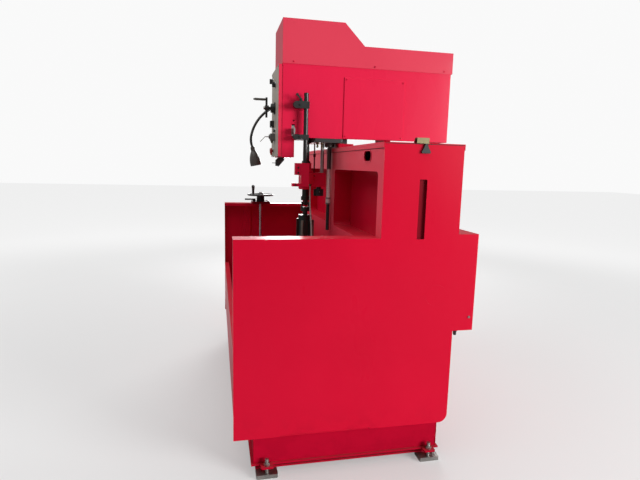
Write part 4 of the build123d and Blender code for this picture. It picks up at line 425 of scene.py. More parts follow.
SHEET_WELDS = [[(-CORNER_X, WALL_Y, PAN_Z), (CORNER_X, WALL_Y, PAN_Z)]]
for side in (-1, 1):
    SHEET_WELDS += [
        [(side * CORNER_X, PAN_Y, PAN_Z), (side * CORNER_X, PAN_Y, PAN_TOP)],
        [(side * CORNER_X, WALL_Y, PAN_Z), (side * CORNER_X, WALL_Y, WALL_TOP)],
        [(side * CORNER_X, PAN_Y, PAN_Z), (side * CORNER_X, WALL_Y, PAN_Z)],
    ]
weld("tank_welds", SHEET_WELDS, crimson_sheet)

# Plinth: a ring of folded channel welded at its corners, in a darker, duller crimson than the sheets, dusty on its
# ledge and darker in patches near the floor.
PLINTH_RED, PLINTH_DEEP = (0.50, 0.0035, 0.0270), (0.42, 0.0030, 0.0215)
PLINTH_X, PLINTH_YS, PLINTH_ZS = 1.0000, (-0.6140, 0.3380), (0.060, 0.218)

plinth_paint = sheet_paint(
    "plinth_paint", PLINTH_RED, PLINTH_DEEP, rough=0.42, coat=0.0, dust=0.10, low_darkening=0.12, gloss=0.01
)
dress(plinth_paint, "base_frame", fold=FOLD)
PLINTH_WELDS = [[(side * PLINTH_X, y, z) for z in PLINTH_ZS] for side in (-1, 1) for y in PLINTH_YS]
weld("plinth_welds", PLINTH_WELDS, plinth_paint)


# Levelling feet: zinc-plated plates and M18 bolts with a lock nut. The thread stands a little proud of
# the bolt's core above the nut and under the ear.
def metal(name, colour, rough, brushed=(1.0, 1.0, 1.0), stain=0.2, metallic=1.0, stained=(0.10, 0.075, 0.05)):
    """Machined or plated metal with turning marks, patchy shine and a little staining."""
    material, shader, place, _ = new_material(name)
    marks = place.stretched(brushed).noise(90.0, 4.0, 0.6)
    patch = place.noise(14.0, 3.0, 0.6)
    spots = place.noise(55.0, 4.0, 0.7).step(0.60, 0.72) * stain
    shade = patch.step(0.3, 0.7).mix(tuple(0.84 * c for c in colour), colour)
    connect(
        shader,
        Base_Color=spots.mix(shade, stained),
        Metallic=metallic * (1.0 - 0.5 * spots),
        Roughness=rough + 0.16 * (marks - 0.5) + 0.12 * (patch - 0.5) + 0.3 * spots,
        Normal=marks.relief(0.10, 0.0004),
    )
    return material


def thread(name, starts, radius, pitch, height, material, body, ridge=0.0006, axis=(0, 0, 1), steps=20):
    """A helical ridge of the given height on each start point, its axis along axis."""
    rule = Tree(name + "_rule", Radius=radius, Turns=height / pitch, Height=height, Ridge=ridge)
    inputs = {"Rotations": "Turns", "Start Radius": "Radius", "End Radius": "Radius", "Height": "Height"}
    sizes = {socket: rule.given[key] for socket, key in inputs.items()}
    coil = rule.node("GeometryNodeCurveSpiral", values={"Resolution": steps, **sizes})
    wound = rule.on_points(rule.skin(coil, 4, "Ridge"))
    piece = rule.grow(name, wound, material, starts, facings=[axis] * len(starts))
    return fixed(piece, body)


zinc_plate = metal("zinc_plate", (0.42, 0.41, 0.39), 0.42, stain=0.6)
dress(zinc_plate, "foot_plates", "levelling_bolts")
BOLT_X, BOLT_YS, THREAD_ZS = 1.024, (-0.551, 0.290), (0.0735, 0.0265)
BOLT_RADIUS, BOLT_PITCH, THREAD_LENGTH = 0.0090, 0.0025, 0.0175
THREAD_STARTS = [(side * BOLT_X, y, z) for side in (-1, 1) for y in BOLT_YS for z in THREAD_ZS]
thread("bolt_threads", THREAD_STARTS, BOLT_RADIUS, BOLT_PITCH, THREAD_LENGTH, zinc_plate, "machine")

# Lid of the cabinet: a flat sheet with folded lips over a rubber gasket, held at both ends by rubber
# pull latches hooked over brass keepers that are brazed to the lid.
dress(crimson_sheet, "cabinet_lid", fold=FOLD)
HALF_LENGTH, LID_FRONT, LID_REAR, LID_UNDER = 1.0600, -0.0320, 0.3630, 1.6108
LIP_FRONT, LIP_REAR, LIP_Z = -0.0338, 0.3648, 1.5890
GASKET_RADIUS, GASKET_X, GASKET_YS = 0.0016, HALF_LENGTH - 0.0006, (LID_FRONT + 0.004, LID_REAR - 0.004)


def moulded(name, colour, rough, coat=0.2, grain=700.0):
    """Moulded plastic or rubber with a fine grain and finger-worn sheen."""
    material, shader, place, _ = new_material(name)
    worn = place.noise(30.0, 3.0)
    connect(
        shader,
        Base_Color=worn.step(0.3, 0.7).mix(tuple(0.78 * c for c in colour), colour),
        Roughness=rough + 0.18 * (worn - 0.5),
        Coat_Weight=coat * worn,
        Normal=place.noise(grain, 2.0).relief(0.15, 0.0002),
    )
    return material


def tube(name, paths, radius, material, body, sides=6):
    """A thin round strip along each path."""
    rule = Tree(name + "_rule", Radius=radius, Sides=sides)
    strip = rule.skin(rule.path(), rule.given["Sides"], "Radius")
    return fixed(rule.grow(name, strip, material, *strung(paths)), body)


strap_rubber = moulded("strap_rubber", (0.012, 0.012, 0.012), 0.62, 0.0)
dress(strap_rubber, "latch_straps")
GASKET = [[(side * GASKET_X, y, LID_UNDER) for y in GASKET_YS] for side in (-1, 1)]
GASKET += [[(-HALF_LENGTH, y, LIP_Z), (HALF_LENGTH, y, LIP_Z)] for y in (LIP_FRONT, LIP_REAR)]
tube("lid_gasket", GASKET, GASKET_RADIUS, strap_rubber, "machine")

dull_brass = metal("dull_brass", (0.17, 0.145, 0.08), 0.48, stain=0.5)
dress(dull_brass, "latch_keepers")

# Switchgear box: a closed steel box bolted to the cabinet's back, with a hinged door on its rear face, cam
# locks in the door and the right side, and a plastic cable gland underneath.
DOOR_LOW, DOOR_HIGH, DOOR_EDGE = (0.576, 0.4700, 0.721), (1.044, 0.4726, 1.174), 0.0012
HINGE_X, HINGE_Y, HINGE_ZS = 0.5745, 0.4728, (0.790, 1.105)
HINGE_PIN = [(0.0, -0.028), (0.0038, -0.028), (0.0045, -0.026), (0.0045, 0.026), (0.0038, 0.028), (0.0, 0.028)]
SIDE_LOCK, DOOR_LOCK, GLAND_SPOT = (1.0582, 0.447, 0.773), (1.024, 0.4720, 0.947), (1.042, 0.385, 0.705)
LOCK_BARREL = [
    (0.0, 0.0), (0.0062, 0.0), (0.0062, 0.0042), (0.0056, 0.0048), (0.0018, 0.0048), (0.0014, 0.0030), (0.0, 0.0030),
]
GLAND = [
    (0.0, 0.0), (0.0105, 0.0), (0.0105, -0.009), (0.0085, -0.011), (0.0085, -0.021), (0.0070, -0.027), (0.0, -0.027),
]
TO_RIGHT, TO_REAR, SMOOTH_BELOW = (1, 0, 0), (0, 1, 0), radians(38)


def block(low, high):
    """Corner points and outward faces of a rectangular block."""
    points = [(x, y, z) for x in (low[0], high[0]) for y in (low[1], high[1]) for z in (low[2], high[2])]
    return points, [(0, 1, 3, 2), (4, 6, 7, 5), (0, 4, 5, 1), (2, 3, 7, 6), (0, 2, 6, 4), (1, 5, 7, 3)]


def turned(profile, centre, axis=(0, 0, 1), sides=40):
    """Points and faces of a profile of (radius, distance along axis) spun about the axis at centre."""
    turn = Vector((0, 0, 1)).rotation_difference(Vector(axis)).to_matrix()
    points, faces, count = [], [], len(profile)
    for step in range(sides):
        angle = 2 * pi * step / sides
        for radius, along in profile:
            points.append(tuple(Vector(centre) + turn @ Vector((radius * cos(angle), radius * sin(angle), along))))
        ahead_row = ((step + 1) % sides) * count
        for i in range(count - 1):
            faces.append((step * count + i, ahead_row + i, ahead_row + i + 1, step * count + i + 1))
    return points, faces


def finished(name, shapes, material, body, rounding=0.0):
    """One closed, smooth-shaded mesh of the shapes, with its edges rounded where a radius is given."""
    builder = bmesh.new()
    for points, faces in shapes:
        placed = [builder.verts.new(point) for point in points]
        for face in faces:
            builder.faces.new([placed[i] for i in face])
    bmesh.ops.remove_doubles(builder, verts=builder.verts, dist=1e-6)
    bmesh.ops.dissolve_degenerate(builder, edges=builder.edges, dist=1e-7)
    bmesh.ops.recalc_face_normals(builder, faces=builder.faces)
    mesh = bpy.data.meshes.new(name)
    builder.to_mesh(mesh)
    builder.free()
    mesh.shade_smooth()
    mesh.set_sharp_from_angle(angle=SMOOTH_BELOW)
    mesh.materials.append(material)
    piece = shown(name, mesh)
    if rounding:
        edge = piece.modifiers.new("rounded_edges", "BEVEL")
        edge.width, edge.segments, edge.limit_method = rounding, 2, "ANGLE"
        edge.harden_normals = True
    return fixed(piece, body)


dress(crimson_sheet, "switchgear_box", fold=DOOR_EDGE)
finished("switchgear_door", [block(DOOR_LOW, DOOR_HIGH)], crimson_sheet, "machine", DOOR_EDGE)
hinges = [turned(HINGE_PIN, (HINGE_X, HINGE_Y, z), sides=16) for z in HINGE_ZS]
finished("door_hinges", hinges, crimson_sheet, "machine")
zinc_lock = metal("zinc_lock", (0.34, 0.33, 0.31), 0.30, stain=0.3)
locks = [turned(LOCK_BARREL, SIDE_LOCK, TO_RIGHT, 24), turned(LOCK_BARREL, DOOR_LOCK, TO_REAR, 24)]
finished("cam_locks", locks, zinc_lock, "machine")
black_plastic = moulded("black_plastic", (0.014, 0.014, 0.015), 0.35)
finished("cable_gland", [turned(GLAND, GLAND_SPOT, sides=24)], black_plastic, "machine")

# Head housing, hood and cover: folded sheet screwed round the drive casting. The hood's paint is a paler copy of the
# head's red, painted light for the glare on it; all screws are painted over, with the paint broken in their sockets.
HEAD_RED, HEAD_DEEP = (0.700, 0.0150, 0.0600), (0.640, 0.0130, 0.0530)
HOOD_GLARE_RED, HOOD_GLARE_DEEP = (0.660, 0.0520, 0.0900), (0.610, 0.0450, 0.0800)
HOOD_SCREW_YS, HOOD_SCREW_X, HOOD_SCREW_Z = (-0.321, 0.190, 0.654), 0.1830, 2.116
COVER_SCREW_X, COVER_SCREW_YS, COVER_SCREW_ZS = 0.1860, (0.010, 0.380), (1.686, 2.028)
SHEET_SCREW, HOOD_EDGE, COVER_EDGE = (0.0050, 0.0050), 0.0009, 0.0030
CROWN_RISE, CROWN_SHARE, SOCKET_SINK, SOCKET_SHARE = 0.3, 0.82, -0.7, 0.96


def screws(name, spots, size, material, body, recess=0.5, sides=20):
    """Round-headed screws or rivets at each spot, a point and the way it faces, with a sunk socket.

    size is the head's radius and height, and recess the socket's share of the head's width.
    """
    rule = Tree(name + "_rule", Radius=size[0], Height=size[1], Recess=recess, Sides=sides)
    crown, sunk = (
        rule.node("ShaderNodeMath", {"operation": "MULTIPLY"}, {0: rule.given["Height"], 1: share})
        for share in (CROWN_RISE, SOCKET_SINK)
    )
    shape = rule.cylinder(rule.given["Sides"], "Radius", "Height")
    top = shape.node.outputs["Top"]
    for reach, share in ((crown, CROWN_SHARE), (0.0, rule.given["Recess"]), (sunk, SOCKET_SHARE)):
        drawn = {"Mesh": shape, "Selection": top, "Offset Scale": reach, "Individual": False}
        shape = rule.node("GeometryNodeExtrudeMesh", {"mode": "FACES"}, drawn)
        top = shape.node.outputs["Top"]
        shape = rule.node("GeometryNodeScaleElements", {"domain": "FACE"}, {0: shape, "Selection": top, "Scale": share})
    points, facings = zip(*spots)
    return fixed(rule.grow(name, rule.on_points(shape), material, points, facings=facings), body)


head_paint = sheet_paint("head_paint", HEAD_RED, HEAD_DEEP, rough=0.27, dust=0.15, low_darkening=0.0)
dress(head_paint, "head_housing", fold=FOLD)
dress(head_paint, "side_cover", fold=COVER_EDGE)
# The hood's red is a paler copy of the head's: painted light for the glare on it.
hood_glare_paint = sheet_paint("hood_glare_paint", HOOD_GLARE_RED, HOOD_GLARE_DEEP, rough=0.30, dust=0.15, low_darkening=0.0)
dress(hood_glare_paint, "head_hood", fold=HOOD_EDGE)
HEAD_SCREWS = [((side * HOOD_SCREW_X, y, HOOD_SCREW_Z), (side, 0, 0)) for side in (-1, 1) for y in HOOD_SCREW_YS]
HEAD_SCREWS += [((COVER_SCREW_X, y, z), TO_RIGHT) for y in COVER_SCREW_YS for z in COVER_SCREW_ZS]
painted_screws = screws("painted_screws", HEAD_SCREWS, SHEET_SCREW, head_paint, "machine")
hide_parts("cover_screws")

# Head casting: grey iron brushed with thick black enamel, with the hidden stroke cylinder on it. Brass
# grease lines end in small fittings under its foot plate, beside the coolant pipe's flange.
black_enamel = sheet_paint(
    "black_enamel", (0.020, 0.019, 0.018), (0.013, 0.012, 0.012), rough=0.40, coat=0.2, dust=0.05, peel=0.8, gloss=0.4
)
CAST_EDGE, FOOT_UNDER = 0.0020, 1.6450
dress(black_enamel, "head_frame", fold=CAST_EDGE)
ground_steel = metal("ground_steel", (0.50, 0.51, 0.51), 0.28)
dress(ground_steel, "stroke_cylinder")
FITTING = [
    (0.0, 0.0), (0.0075, 0.0), (0.0075, -0.007), (0.0045, -0.009), (0.0045, -0.018), (0.0058, -0.020),
    (0.0058, -0.028), (0.0, -0.030),
]
FITTING_SPOTS = [(0.070, -0.142), (0.098, -0.118), (0.122, -0.150)]
fittings = [turned(FITTING, (x, y, FOOT_UNDER), sides=20) for x, y in FITTING_SPOTS]
finished("grease_fittings", fittings, dull_brass, "machine")

# Control panel: a shallow pressed box screwed to the head's front, its face sprayed warm grey and its
# sides with the head. Selectors, buttons and pilot lamp have turned bezels, the selectors scale marks too.
PANEL_GREY, PANEL_GREY_DEEP = (0.42, 0.365, 0.31), (0.37, 0.32, 0.27)
PANEL_Y, PANEL_INSET = -0.4100, 0.0130
PANEL_X, PANEL_LOW, PANEL_TOP = 0.1760, 1.5520, 2.0980
PANEL_SCREW, SIDE_FACING, FRONT = (0.0040, 0.0036), (-0.85, -0.55), (0, -1, 0)
SELECTORS = ((-0.120, 2.040), (0.020, 2.000))
MODE, STOP, EMERGENCY, PILOT = (-0.060, 1.762), (0.022, 1.716), (-0.060, 1.591), (-0.140, 1.575)


def panel_sides(_, normal):
    """The panel's folded sides, sprayed with the head; only its face is grey."""
    return normal.axis(1).step(*SIDE_FACING)


panel_grey = sheet_paint(
    "panel_grey", PANEL_GREY, PANEL_GREY_DEEP, rough=0.42, coat=0.05, dust=0.05, low_darkening=0.0, gloss=0.3,
    others=((HEAD_RED, panel_sides),),
)
dress(panel_grey, "control_panel")
PANEL_SCREWS = [
    ((side * (PANEL_X - PANEL_INSET), PANEL_Y, z), FRONT)
    for side in (-1, 1)
    for z in (PANEL_LOW + PANEL_INSET, PANEL_TOP - PANEL_INSET)
]
screws("panel_screws", PANEL_SCREWS, PANEL_SCREW, zinc_lock, "machine")

RING_SINK = -0.0004
SELECTOR_RING, STOP_RING = (0.0185, 0.0225, 0.0016), (0.0116, 0.0150, 0.0030)
EMERGENCY_RING, PILOT_RING = (0.0086, 0.0165, 0.0030), (0.0113, 0.0140, 0.0028)


def ring(inner, outer, thick):
    """Profile of a flat ring with a broken outer edge, standing off its base by its thickness."""
    soft = 0.3 * thick
    foot = [(inner, RING_SINK), (outer, RING_SINK)]
    return foot + [(outer, thick - soft), (outer - soft, thick), (inner, thick), foot[0]]


RINGS = [(spot, SELECTOR_RING) for spot in SELECTORS]
RINGS += [(STOP, STOP_RING), (EMERGENCY, EMERGENCY_RING), (PILOT, PILOT_RING)]
BEZELS = [turned(ring(*sizes), (x, PANEL_Y, z), FRONT) for (x, z), sizes in RINGS]
bezel_chrome = metal("bezel_chrome", (0.55, 0.55, 0.54), 0.16, stain=0.05)
finished("control_bezels", BEZELS, bezel_chrome, "machine")

TICK_COUNT, TICK_START, TICK_STEP = 11, radians(-60), radians(30)
TICK_REACH, TICK_LENGTH, TICK_WIDTH, TICK_LIFT = 0.0270, 0.0050, 0.0009, 0.0001
tick_places, tick_facings = [], []
for x, z in SELECTORS:
    for number in range(TICK_COUNT):
        angle = TICK_START + number * TICK_STEP
        outward = (cos(angle), 0, sin(angle))
        tick_places.append((x + TICK_REACH * outward[0], PANEL_Y - TICK_LIFT, z + TICK_REACH * outward[2]))
        tick_facings.append(outward)
tick_rule = Tree("scale_marks_rule", Length=TICK_LENGTH, Width=TICK_WIDTH)
wide, long = tick_rule.given["Width"], tick_rule.given["Length"]
tick_size = tick_rule.node("ShaderNodeCombineXYZ", values={0: wide, 1: wide, 2: long})
ticks = tick_rule.on_points(tick_rule.node("GeometryNodeMeshCube", values={"Size": tick_size}))
black_ink = moulded("black_ink", (0.010, 0.010, 0.010), 0.5, 0.0)
scale_marks = tick_rule.grow("scale_marks", ticks, black_ink, tick_places, facings=tick_facings)
fixed(scale_marks, "machine")

# Knobs, switch and buttons: moulded black plastic with a white pointer line let into each knob, a red
# mushroom head for the emergency stop and a domed orange lens for the pilot lamp.
KNOB_FACE, KNOB_LINE, KNOB_LINE_HALF = -0.4326, (0.0050, 0.0150), 0.0008
MODE_FACE, MODE_LINE, MODE_LINE_HALF, LINE_DEPTH = -0.4346, (0.0060, 0.0170), 0.0010, 0.0012

dress(black_plastic, "selector_knob_left", "selector_knob_right", "mode_switch", "stop_button")
white_line = moulded("white_line", (0.60, 0.60, 0.57), 0.4)


def pointer(name, spot, face, reach, half, body):
    """A white line let into a knob's face, between two distances above the knob's axis."""
    x, z = spot
    line = block((x - half, face, z + reach[0]), (x + half, face + LINE_DEPTH, z + reach[1]))
    finished(name, [line], white_line, body)


pointer("pointer_line_left", SELECTORS[0], KNOB_FACE, KNOB_LINE, KNOB_LINE_HALF, "left_knob")
pointer("pointer_line_right", SELECTORS[1], KNOB_FACE, KNOB_LINE, KNOB_LINE_HALF, "right_knob")
pointer("mode_mark", MODE, MODE_FACE, MODE_LINE, MODE_LINE_HALF, "mode_knob")
dress(moulded("red_plastic", (0.50, 0.008, 0.012), 0.28, 0.5), "emergency_stop")
dress(moulded("lens_orange", (0.75, 0.12, 0.03), 0.18, 0.7), "pilot_lamp")

# Hand crank: a black painted arm on a turned boss, held by a hexagon nut, with a slim grey grip that is
# loose on its pin.
crank_black = sheet_paint(
    "crank_black", (0.022, 0.020, 0.019), (0.016, 0.015, 0.014),
    rough=0.38, coat=0.1, dust=0.0, low_darkening=0.0, peel=0.5, gloss=0.3,
)
dress(crank_black, "crank_boss", "crank")
grip_grey = moulded("grip_grey", (0.115, 0.105, 0.090), 0.42)
CRANK_GRIP = [
    (0.0, 0.0), (0.0060, 0.0), (0.0072, 0.002), (0.0078, 0.010), (0.0074, 0.035), (0.0080, 0.058), (0.0070, 0.067),
    (0.0045, 0.070), (0.0, 0.070),
]
grip_low, grip_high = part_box("crank_grip")
grip_start = ((grip_low[0] + grip_high[0]) / 2, grip_high[1], (grip_low[2] + grip_high[2]) / 2)
grip = turned(CRANK_GRIP, grip_start, FRONT, 24)
turned_grip = finished("turned_grip", [grip], grip_grey, "crank_grip_body")
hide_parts("crank_grip")
NUT_SPOT, NUT_RADIUS, NUT_HEIGHT = (0.0, -0.4778, 1.857), 0.0110, 0.0090
nut_rule = Tree("crank_nut_rule", Radius=NUT_RADIUS, Height=NUT_HEIGHT)
nut = nut_rule.on_points(nut_rule.cylinder(6, "Radius", "Height"))
fixed(nut_rule.grow("crank_nut", nut, zinc_lock, [NUT_SPOT], facings=[FRONT]), "crank_body")

# Air valve: a cast block on the panel with a bent plated lever and a brass union on its underside.
VALVE_EDGE, UNION_SPOT = 0.0012, (0.0, -0.428, 1.653)
valve_iron = sheet_paint(
    "valve_iron", (0.150, 0.145, 0.138), (0.115, 0.110, 0.105),
    rough=0.42, coat=0.05, dust=0.1, low_darkening=0.0, peel=0.9, gloss=0.35,
)
dress(valve_iron, "valve_block", fold=VALVE_EDGE)
dress(metal("plated_bar", (0.62, 0.62, 0.61), 0.16, stain=0.1), "valve_lever")
UNION = [(0.0, 0.0), (0.0090, 0.0), (0.0090, -0.006), (0.0060, -0.008), (0.0060, -0.016), (0.0, -0.016)]
finished("valve_union", [turned(UNION, UNION_SPOT, sides=6)], dull_brass, "machine")

# Hook under the head's leg: a steel bracket with a wire ring, both brushed with the black enamel of the
# head casting.
dress(black_enamel, "panel_hook")

# Work lamp: a gooseneck of wound steel strip in worn black, which ends in a ball that carries a spun
# bell shade, dark brown-grey outside, with a frosted bulb inside.
NECK_X = -0.100
RING_RADIUS, RING_PITCH, RING_WIDTH, RING_STOP = 0.0084, 0.0032, 0.0020, 0.014
NECK_TOP, NECK_MIDDLE, NECK_LOW, BALL = (-0.420, 1.868), (-0.500, 1.800), (-0.552, 1.690), (-0.545, 1.612)
SHADE_TIP, SHADE_MOUTH, ROLL_RADIUS = (-0.521, 1.494), 0.0342, 0.0017


def circle_centre(a, b, c):
    """Centre of the circle through three points of a plane."""
    (ax, ay), (bx, by), (cx, cy) = a, b, c
    twice = 2 * (ax * (by - cy) + bx * (cy - ay) + cx * (ay - by))
    squares = [x * x + y * y for x, y in (a, b, c)]
    return (
        (squares[0] * (by - cy) + squares[1] * (cy - ay) + squares[2] * (ay - by)) / twice,
        (squares[0] * (cx - bx) + squares[1] * (ax - cx) + squares[2] * (bx - ax)) / twice,
    )


def arc(start, end, centre, count=24):
    """Points from start to end round the centre, the short way."""
    first, last = (Vector(spot) - Vector(centre) for spot in (start, end))
    sweep = first.angle_signed(last)
    return [Vector(centre) + Matrix.Rotation(-sweep * i / count, 2) @ first for i in range(count + 1)]


upper_centre = circle_centre(NECK_TOP, NECK_MIDDLE, NECK_LOW)
upper_run = arc(NECK_TOP, NECK_LOW, upper_centre)
inward = (Vector(upper_centre) - Vector(NECK_LOW)).normalized()
chord = Vector(BALL) - Vector(NECK_LOW)
lower_centre = Vector(NECK_LOW) + inward * (chord.length_squared / (2 * chord.dot(inward)))
neck_run = upper_run + arc(NECK_LOW, BALL, lower_centre, 8)[1:]
neck_points = [(NECK_X, y, z) for y, z in neck_run if (Vector((y, z)) - Vector(BALL)).length > RING_STOP]

neck_black = metal("neck_black", (0.050, 0.048, 0.044), 0.40, stain=0.1, metallic=0.35)
dress(neck_black, "lamp_neck")
neck_rule = Tree("neck_rings_rule", Radius=RING_RADIUS, Pitch=RING_PITCH, Width=RING_WIDTH)
ring_spots = neck_rule.node(
    "GeometryNodeCurveToPoints", {"mode": "LENGTH"}, {0: neck_rule.path(), "Length": neck_rule.given["Pitch"]}
)
winding = neck_rule.cylinder(24, "Radius", "Width")
wound = neck_rule.on_points(winding, ring_spots, Rotation=ring_spots.node.outputs["Rotation"])
fixed(neck_rule.grow("neck_rings", wound, neck_black, *strung([neck_points])), "machine")

shade_enamel = sheet_paint(
    "shade_enamel", (0.110, 0.098, 0.086), (0.080, 0.070, 0.062), rough=0.36, coat=0.2, dust=0.3, low_darkening=0.0, gloss=0.35
)
dress(shade_enamel, "lamp_shade")
shade_axis = Vector((0, SHADE_TIP[0] - BALL[0], SHADE_TIP[1] - BALL[1])).normalized()
ROLL_TURNS = [pi * i / 6 for i in range(13)]
ROLLED = [(SHADE_MOUTH + ROLL_RADIUS * cos(turn), ROLL_RADIUS * sin(turn)) for turn in ROLL_TURNS]
COLLAR = [(0.0138, -0.090), (0.0156, -0.090), (0.0156, -0.094), (0.0138, -0.094), (0.0138, -0.090)]
shade_spot = (NECK_X, *SHADE_TIP)
shade_rim = [turned(ROLLED, shade_spot, shade_axis, 48), turned(COLLAR, shade_spot, shade_axis, 32)]
finished("shade_rim", shade_rim, shade_enamel, "lamp_head")
dress(moulded("bulb_glass", (0.80, 0.78, 0.72), 0.14, 0.8), "lamp_bulb")

# Stroke rod, trip dogs and trip finger: blackened steel rod with two clamped dogs that the finger feels,
# each held by a socket screw; the finger's ground edge is bright from rubbing.
DOG_EDGE, DOG_FACE, DOG_SCREW_Y, DOG_SCREW = 0.0015, 0.2450, -0.288, (0.0062, 0.0070)
DOG_SCREW_ZS = {"upper": 1.859, "lower": 1.669}
blackened_steel = metal("blackened_steel", (0.034, 0.035, 0.035), 0.34, brushed=(1, 1, 0.1), stain=0.1, metallic=0.55)
dress(blackened_steel, "stroke_rod", "dog_lever")
dress(blackened_steel, "upper_dog", "lower_dog", fold=DOG_EDGE)
for which, z in DOG_SCREW_ZS.items():
    spots = [((DOG_FACE, DOG_SCREW_Y, z), TO_RIGHT)]
    screws(f"{which}_dog_screw", spots, DOG_SCREW, blackened_steel, f"{which}_dog_body")
dress(metal("ground_finger", (0.36, 0.35, 0.34), 0.40), "trip_finger")

# Crosshead: one iron casting, sprayed crimson over a sand-cast skin, that carries the spindle, the piston
# rod and the stroke rod. Socket screws clamp the rod in its yoke; a nipple greases the spindle's bearing.
CASTING_LIT_RED, CASTING_LIT_DEEP = (0.900, 0.0140, 0.0700), (0.800, 0.0110, 0.0600)
CROSSHEAD_EDGE, YOKE_SCREW = 0.0022, (0.0055, 0.0070)
YOKE_SPOTS = ((-0.292, 1.486), (-0.292, 1.456), (-0.308, 1.382))
NIPPLE_SPOT, NIPPLE_FACING = (0.034, -0.2335, 1.392), (0.7071, -0.7071, 0)
NIPPLE = [
    (0.0, 0.0), (0.0050, 0.0), (0.0050, 0.003), (0.0030, 0.004), (0.0022, 0.008), (0.0034, 0.011), (0.0022, 0.014),
    (0.0, 0.014),
]

# The casting's red is a far paler copy of the sheets' crimson: painted light for the light its hub catches.
casting_lit_paint = sheet_paint("casting_lit_paint", CASTING_LIT_RED, CASTING_LIT_DEEP, rough=0.36, dust=0.15, low_darkening=0.0, peel=1.8)
dress(casting_lit_paint, "crosshead", fold=CROSSHEAD_EDGE)
yoke_screws = [((DOG_FACE, y, z), TO_RIGHT) for y, z in YOKE_SPOTS]
screws("yoke_screws", yoke_screws, YOKE_SCREW, blackened_steel, "crosshead_body")
nipple = turned(NIPPLE, NIPPLE_SPOT, NIPPLE_FACING, 16)
finished("grease_nipple", [nipple], dull_brass, "crosshead_body")

# Piston rod, hard chromed, and the stop rod beside it: a dark red bar with a clamped collar that meets the
# head's foot plate at the top of the stroke.
dress(metal("hard_chrome", (0.48, 0.47, 0.46), 0.32, brushed=(1, 1, 0.1), stain=0.1, metallic=0.8), "piston_rod")
STOP_ROD_SPOT, STOP_ROD_TOP = (0.026, -0.150, 1.430), 0.2140
STOP_ROD = [
    (0.0, 0.0), (0.0100, 0.0), (0.0100, 0.009), (0.0045, 0.0095), (0.0045, 0.126), (0.0085, 0.128), (0.0085, 0.148),
    (0.0045, 0.150), (0.0045, STOP_ROD_TOP - 0.001), (0.0035, STOP_ROD_TOP), (0.0, STOP_ROD_TOP),
]
stop_rod_red = sheet_paint(
    "stop_rod_red", (0.120, 0.004, 0.010), (0.060, 0.003, 0.006), rough=0.42, dust=0.0, low_darkening=0.0, peel=0.5
)
finished("stop_rod", [turned(STOP_ROD, STOP_ROD_SPOT, sides=24)], stop_rod_red, "crosshead_body")

# Feed knob: fluted black plastic, turned by hand under the crosshead's rear arm to set the stones out. A
# white dot let into its side shows how far it has been turned.
DOT_SPOT, DOT = (0.0305, -0.112, 1.3300), [(0.0, 0.0), (0.0022, 0.0), (0.0022, 0.0006), (0.0, 0.0006)]
dress(black_plastic, "feed_knob")
finished("feed_dot", [turned(DOT, DOT_SPOT, TO_RIGHT, 16)], white_line, "feed_knob_body")

# Spindle, universal joint and hone: turned steel with an oily dark film, a splined upper shaft, and three
# gritty honing stones bonded to their holders.
oily_steel = metal("oily_steel", (0.030, 0.036, 0.033), 0.32, brushed=(1, 1, 8), stain=0.15, metallic=0.6)
dress(oily_steel, "spindle_shaft", "joint_cross", "hone_body")


def grit(name, colour, dark):
    """Bonded abrasive: coarse grains of two tones in a matt bond, with oil-darkened patches."""
    material, shader, place, _ = new_material(name)
    grains = place.noise(900.0, 2.0, 0.7)
    oil = place.noise(25.0, 3.0).step(0.45, 0.62)
    tone = (grains.step(0.40, 0.60) * (1.0 - 0.5 * oil)).mix(dark, colour)
    connect(shader, Base_Color=tone, Roughness=0.9 - 0.25 * oil, Normal=grains.relief(0.6, 0.0004))
    return material


dress(grit("stone_grit", (0.24, 0.21, 0.17), (0.09, 0.08, 0.07)), "hone_stone_1", "hone_stone_2", "hone_stone_3")

# Coolant pipe: steel tube screwed to the foot plate by a flange, pale below a set height and dark above it, with a
# white coupling near its end and a black rubber spout below it.
PIPE_X, PIPE_Y, COUPLING_LOW, COUPLING_HIGH, DARK_FROM = 0.020, -0.050, 1.2560, 1.2840, 1.4800
JOINT_EDGE, DARK_BLEND = 0.0002, 0.006
SPOUT_BLACK, COUPLING_WHITE, TUBE_PALE = (0.016, 0.016, 0.016), (0.70, 0.69, 0.66), (0.88, 0.80, 0.77)
STEEL_DARK, STAIN_BROWN = (0.075, 0.066, 0.062), (0.14, 0.11, 0.09)
FLANGE_CIRCLE, FLANGE_UNDER, FLANGE_TURNS = 0.0235, 1.6240, (45, 135, 225, 315)
FLANGE_SCREW, BAND, BAND_ZS = (0.0038, 0.0060), (0.0145, 0.0175, 0.006), (1.2490, 1.2860)

pipe_finish, pipe_shader, pipe_place, _ = new_material("pipe_finish")
pipe_height = pipe_place.axis(2)
is_pipe = pipe_height.step(COUPLING_LOW, COUPLING_LOW + JOINT_EDGE)
is_steel = pipe_height.step(COUPLING_HIGH, COUPLING_HIGH + JOINT_EDGE)
is_dark_top = pipe_height.step(DARK_FROM - DARK_BLEND, DARK_FROM + DARK_BLEND)
pipe_worn = pipe_place.noise(24.0, 4.0)
pipe_stain = pipe_place.noise(60.0, 4.0, 0.7).step(0.58, 0.70)
pipe_pale = is_steel.mix(is_pipe.mix(SPOUT_BLACK, COUPLING_WHITE), TUBE_PALE)
connect(
    pipe_shader,
    Base_Color=(0.35 * pipe_stain).mix(is_dark_top.mix(pipe_pale, STEEL_DARK), STAIN_BROWN),
    Metallic=0.4 * is_dark_top,
    Roughness=0.62 - 0.26 * is_pipe + 0.14 * pipe_worn,
    Normal=pipe_place.noise(300.0, 2.0).relief(0.12, 0.0003),
)
dress(pipe_finish, "coolant_pipe")
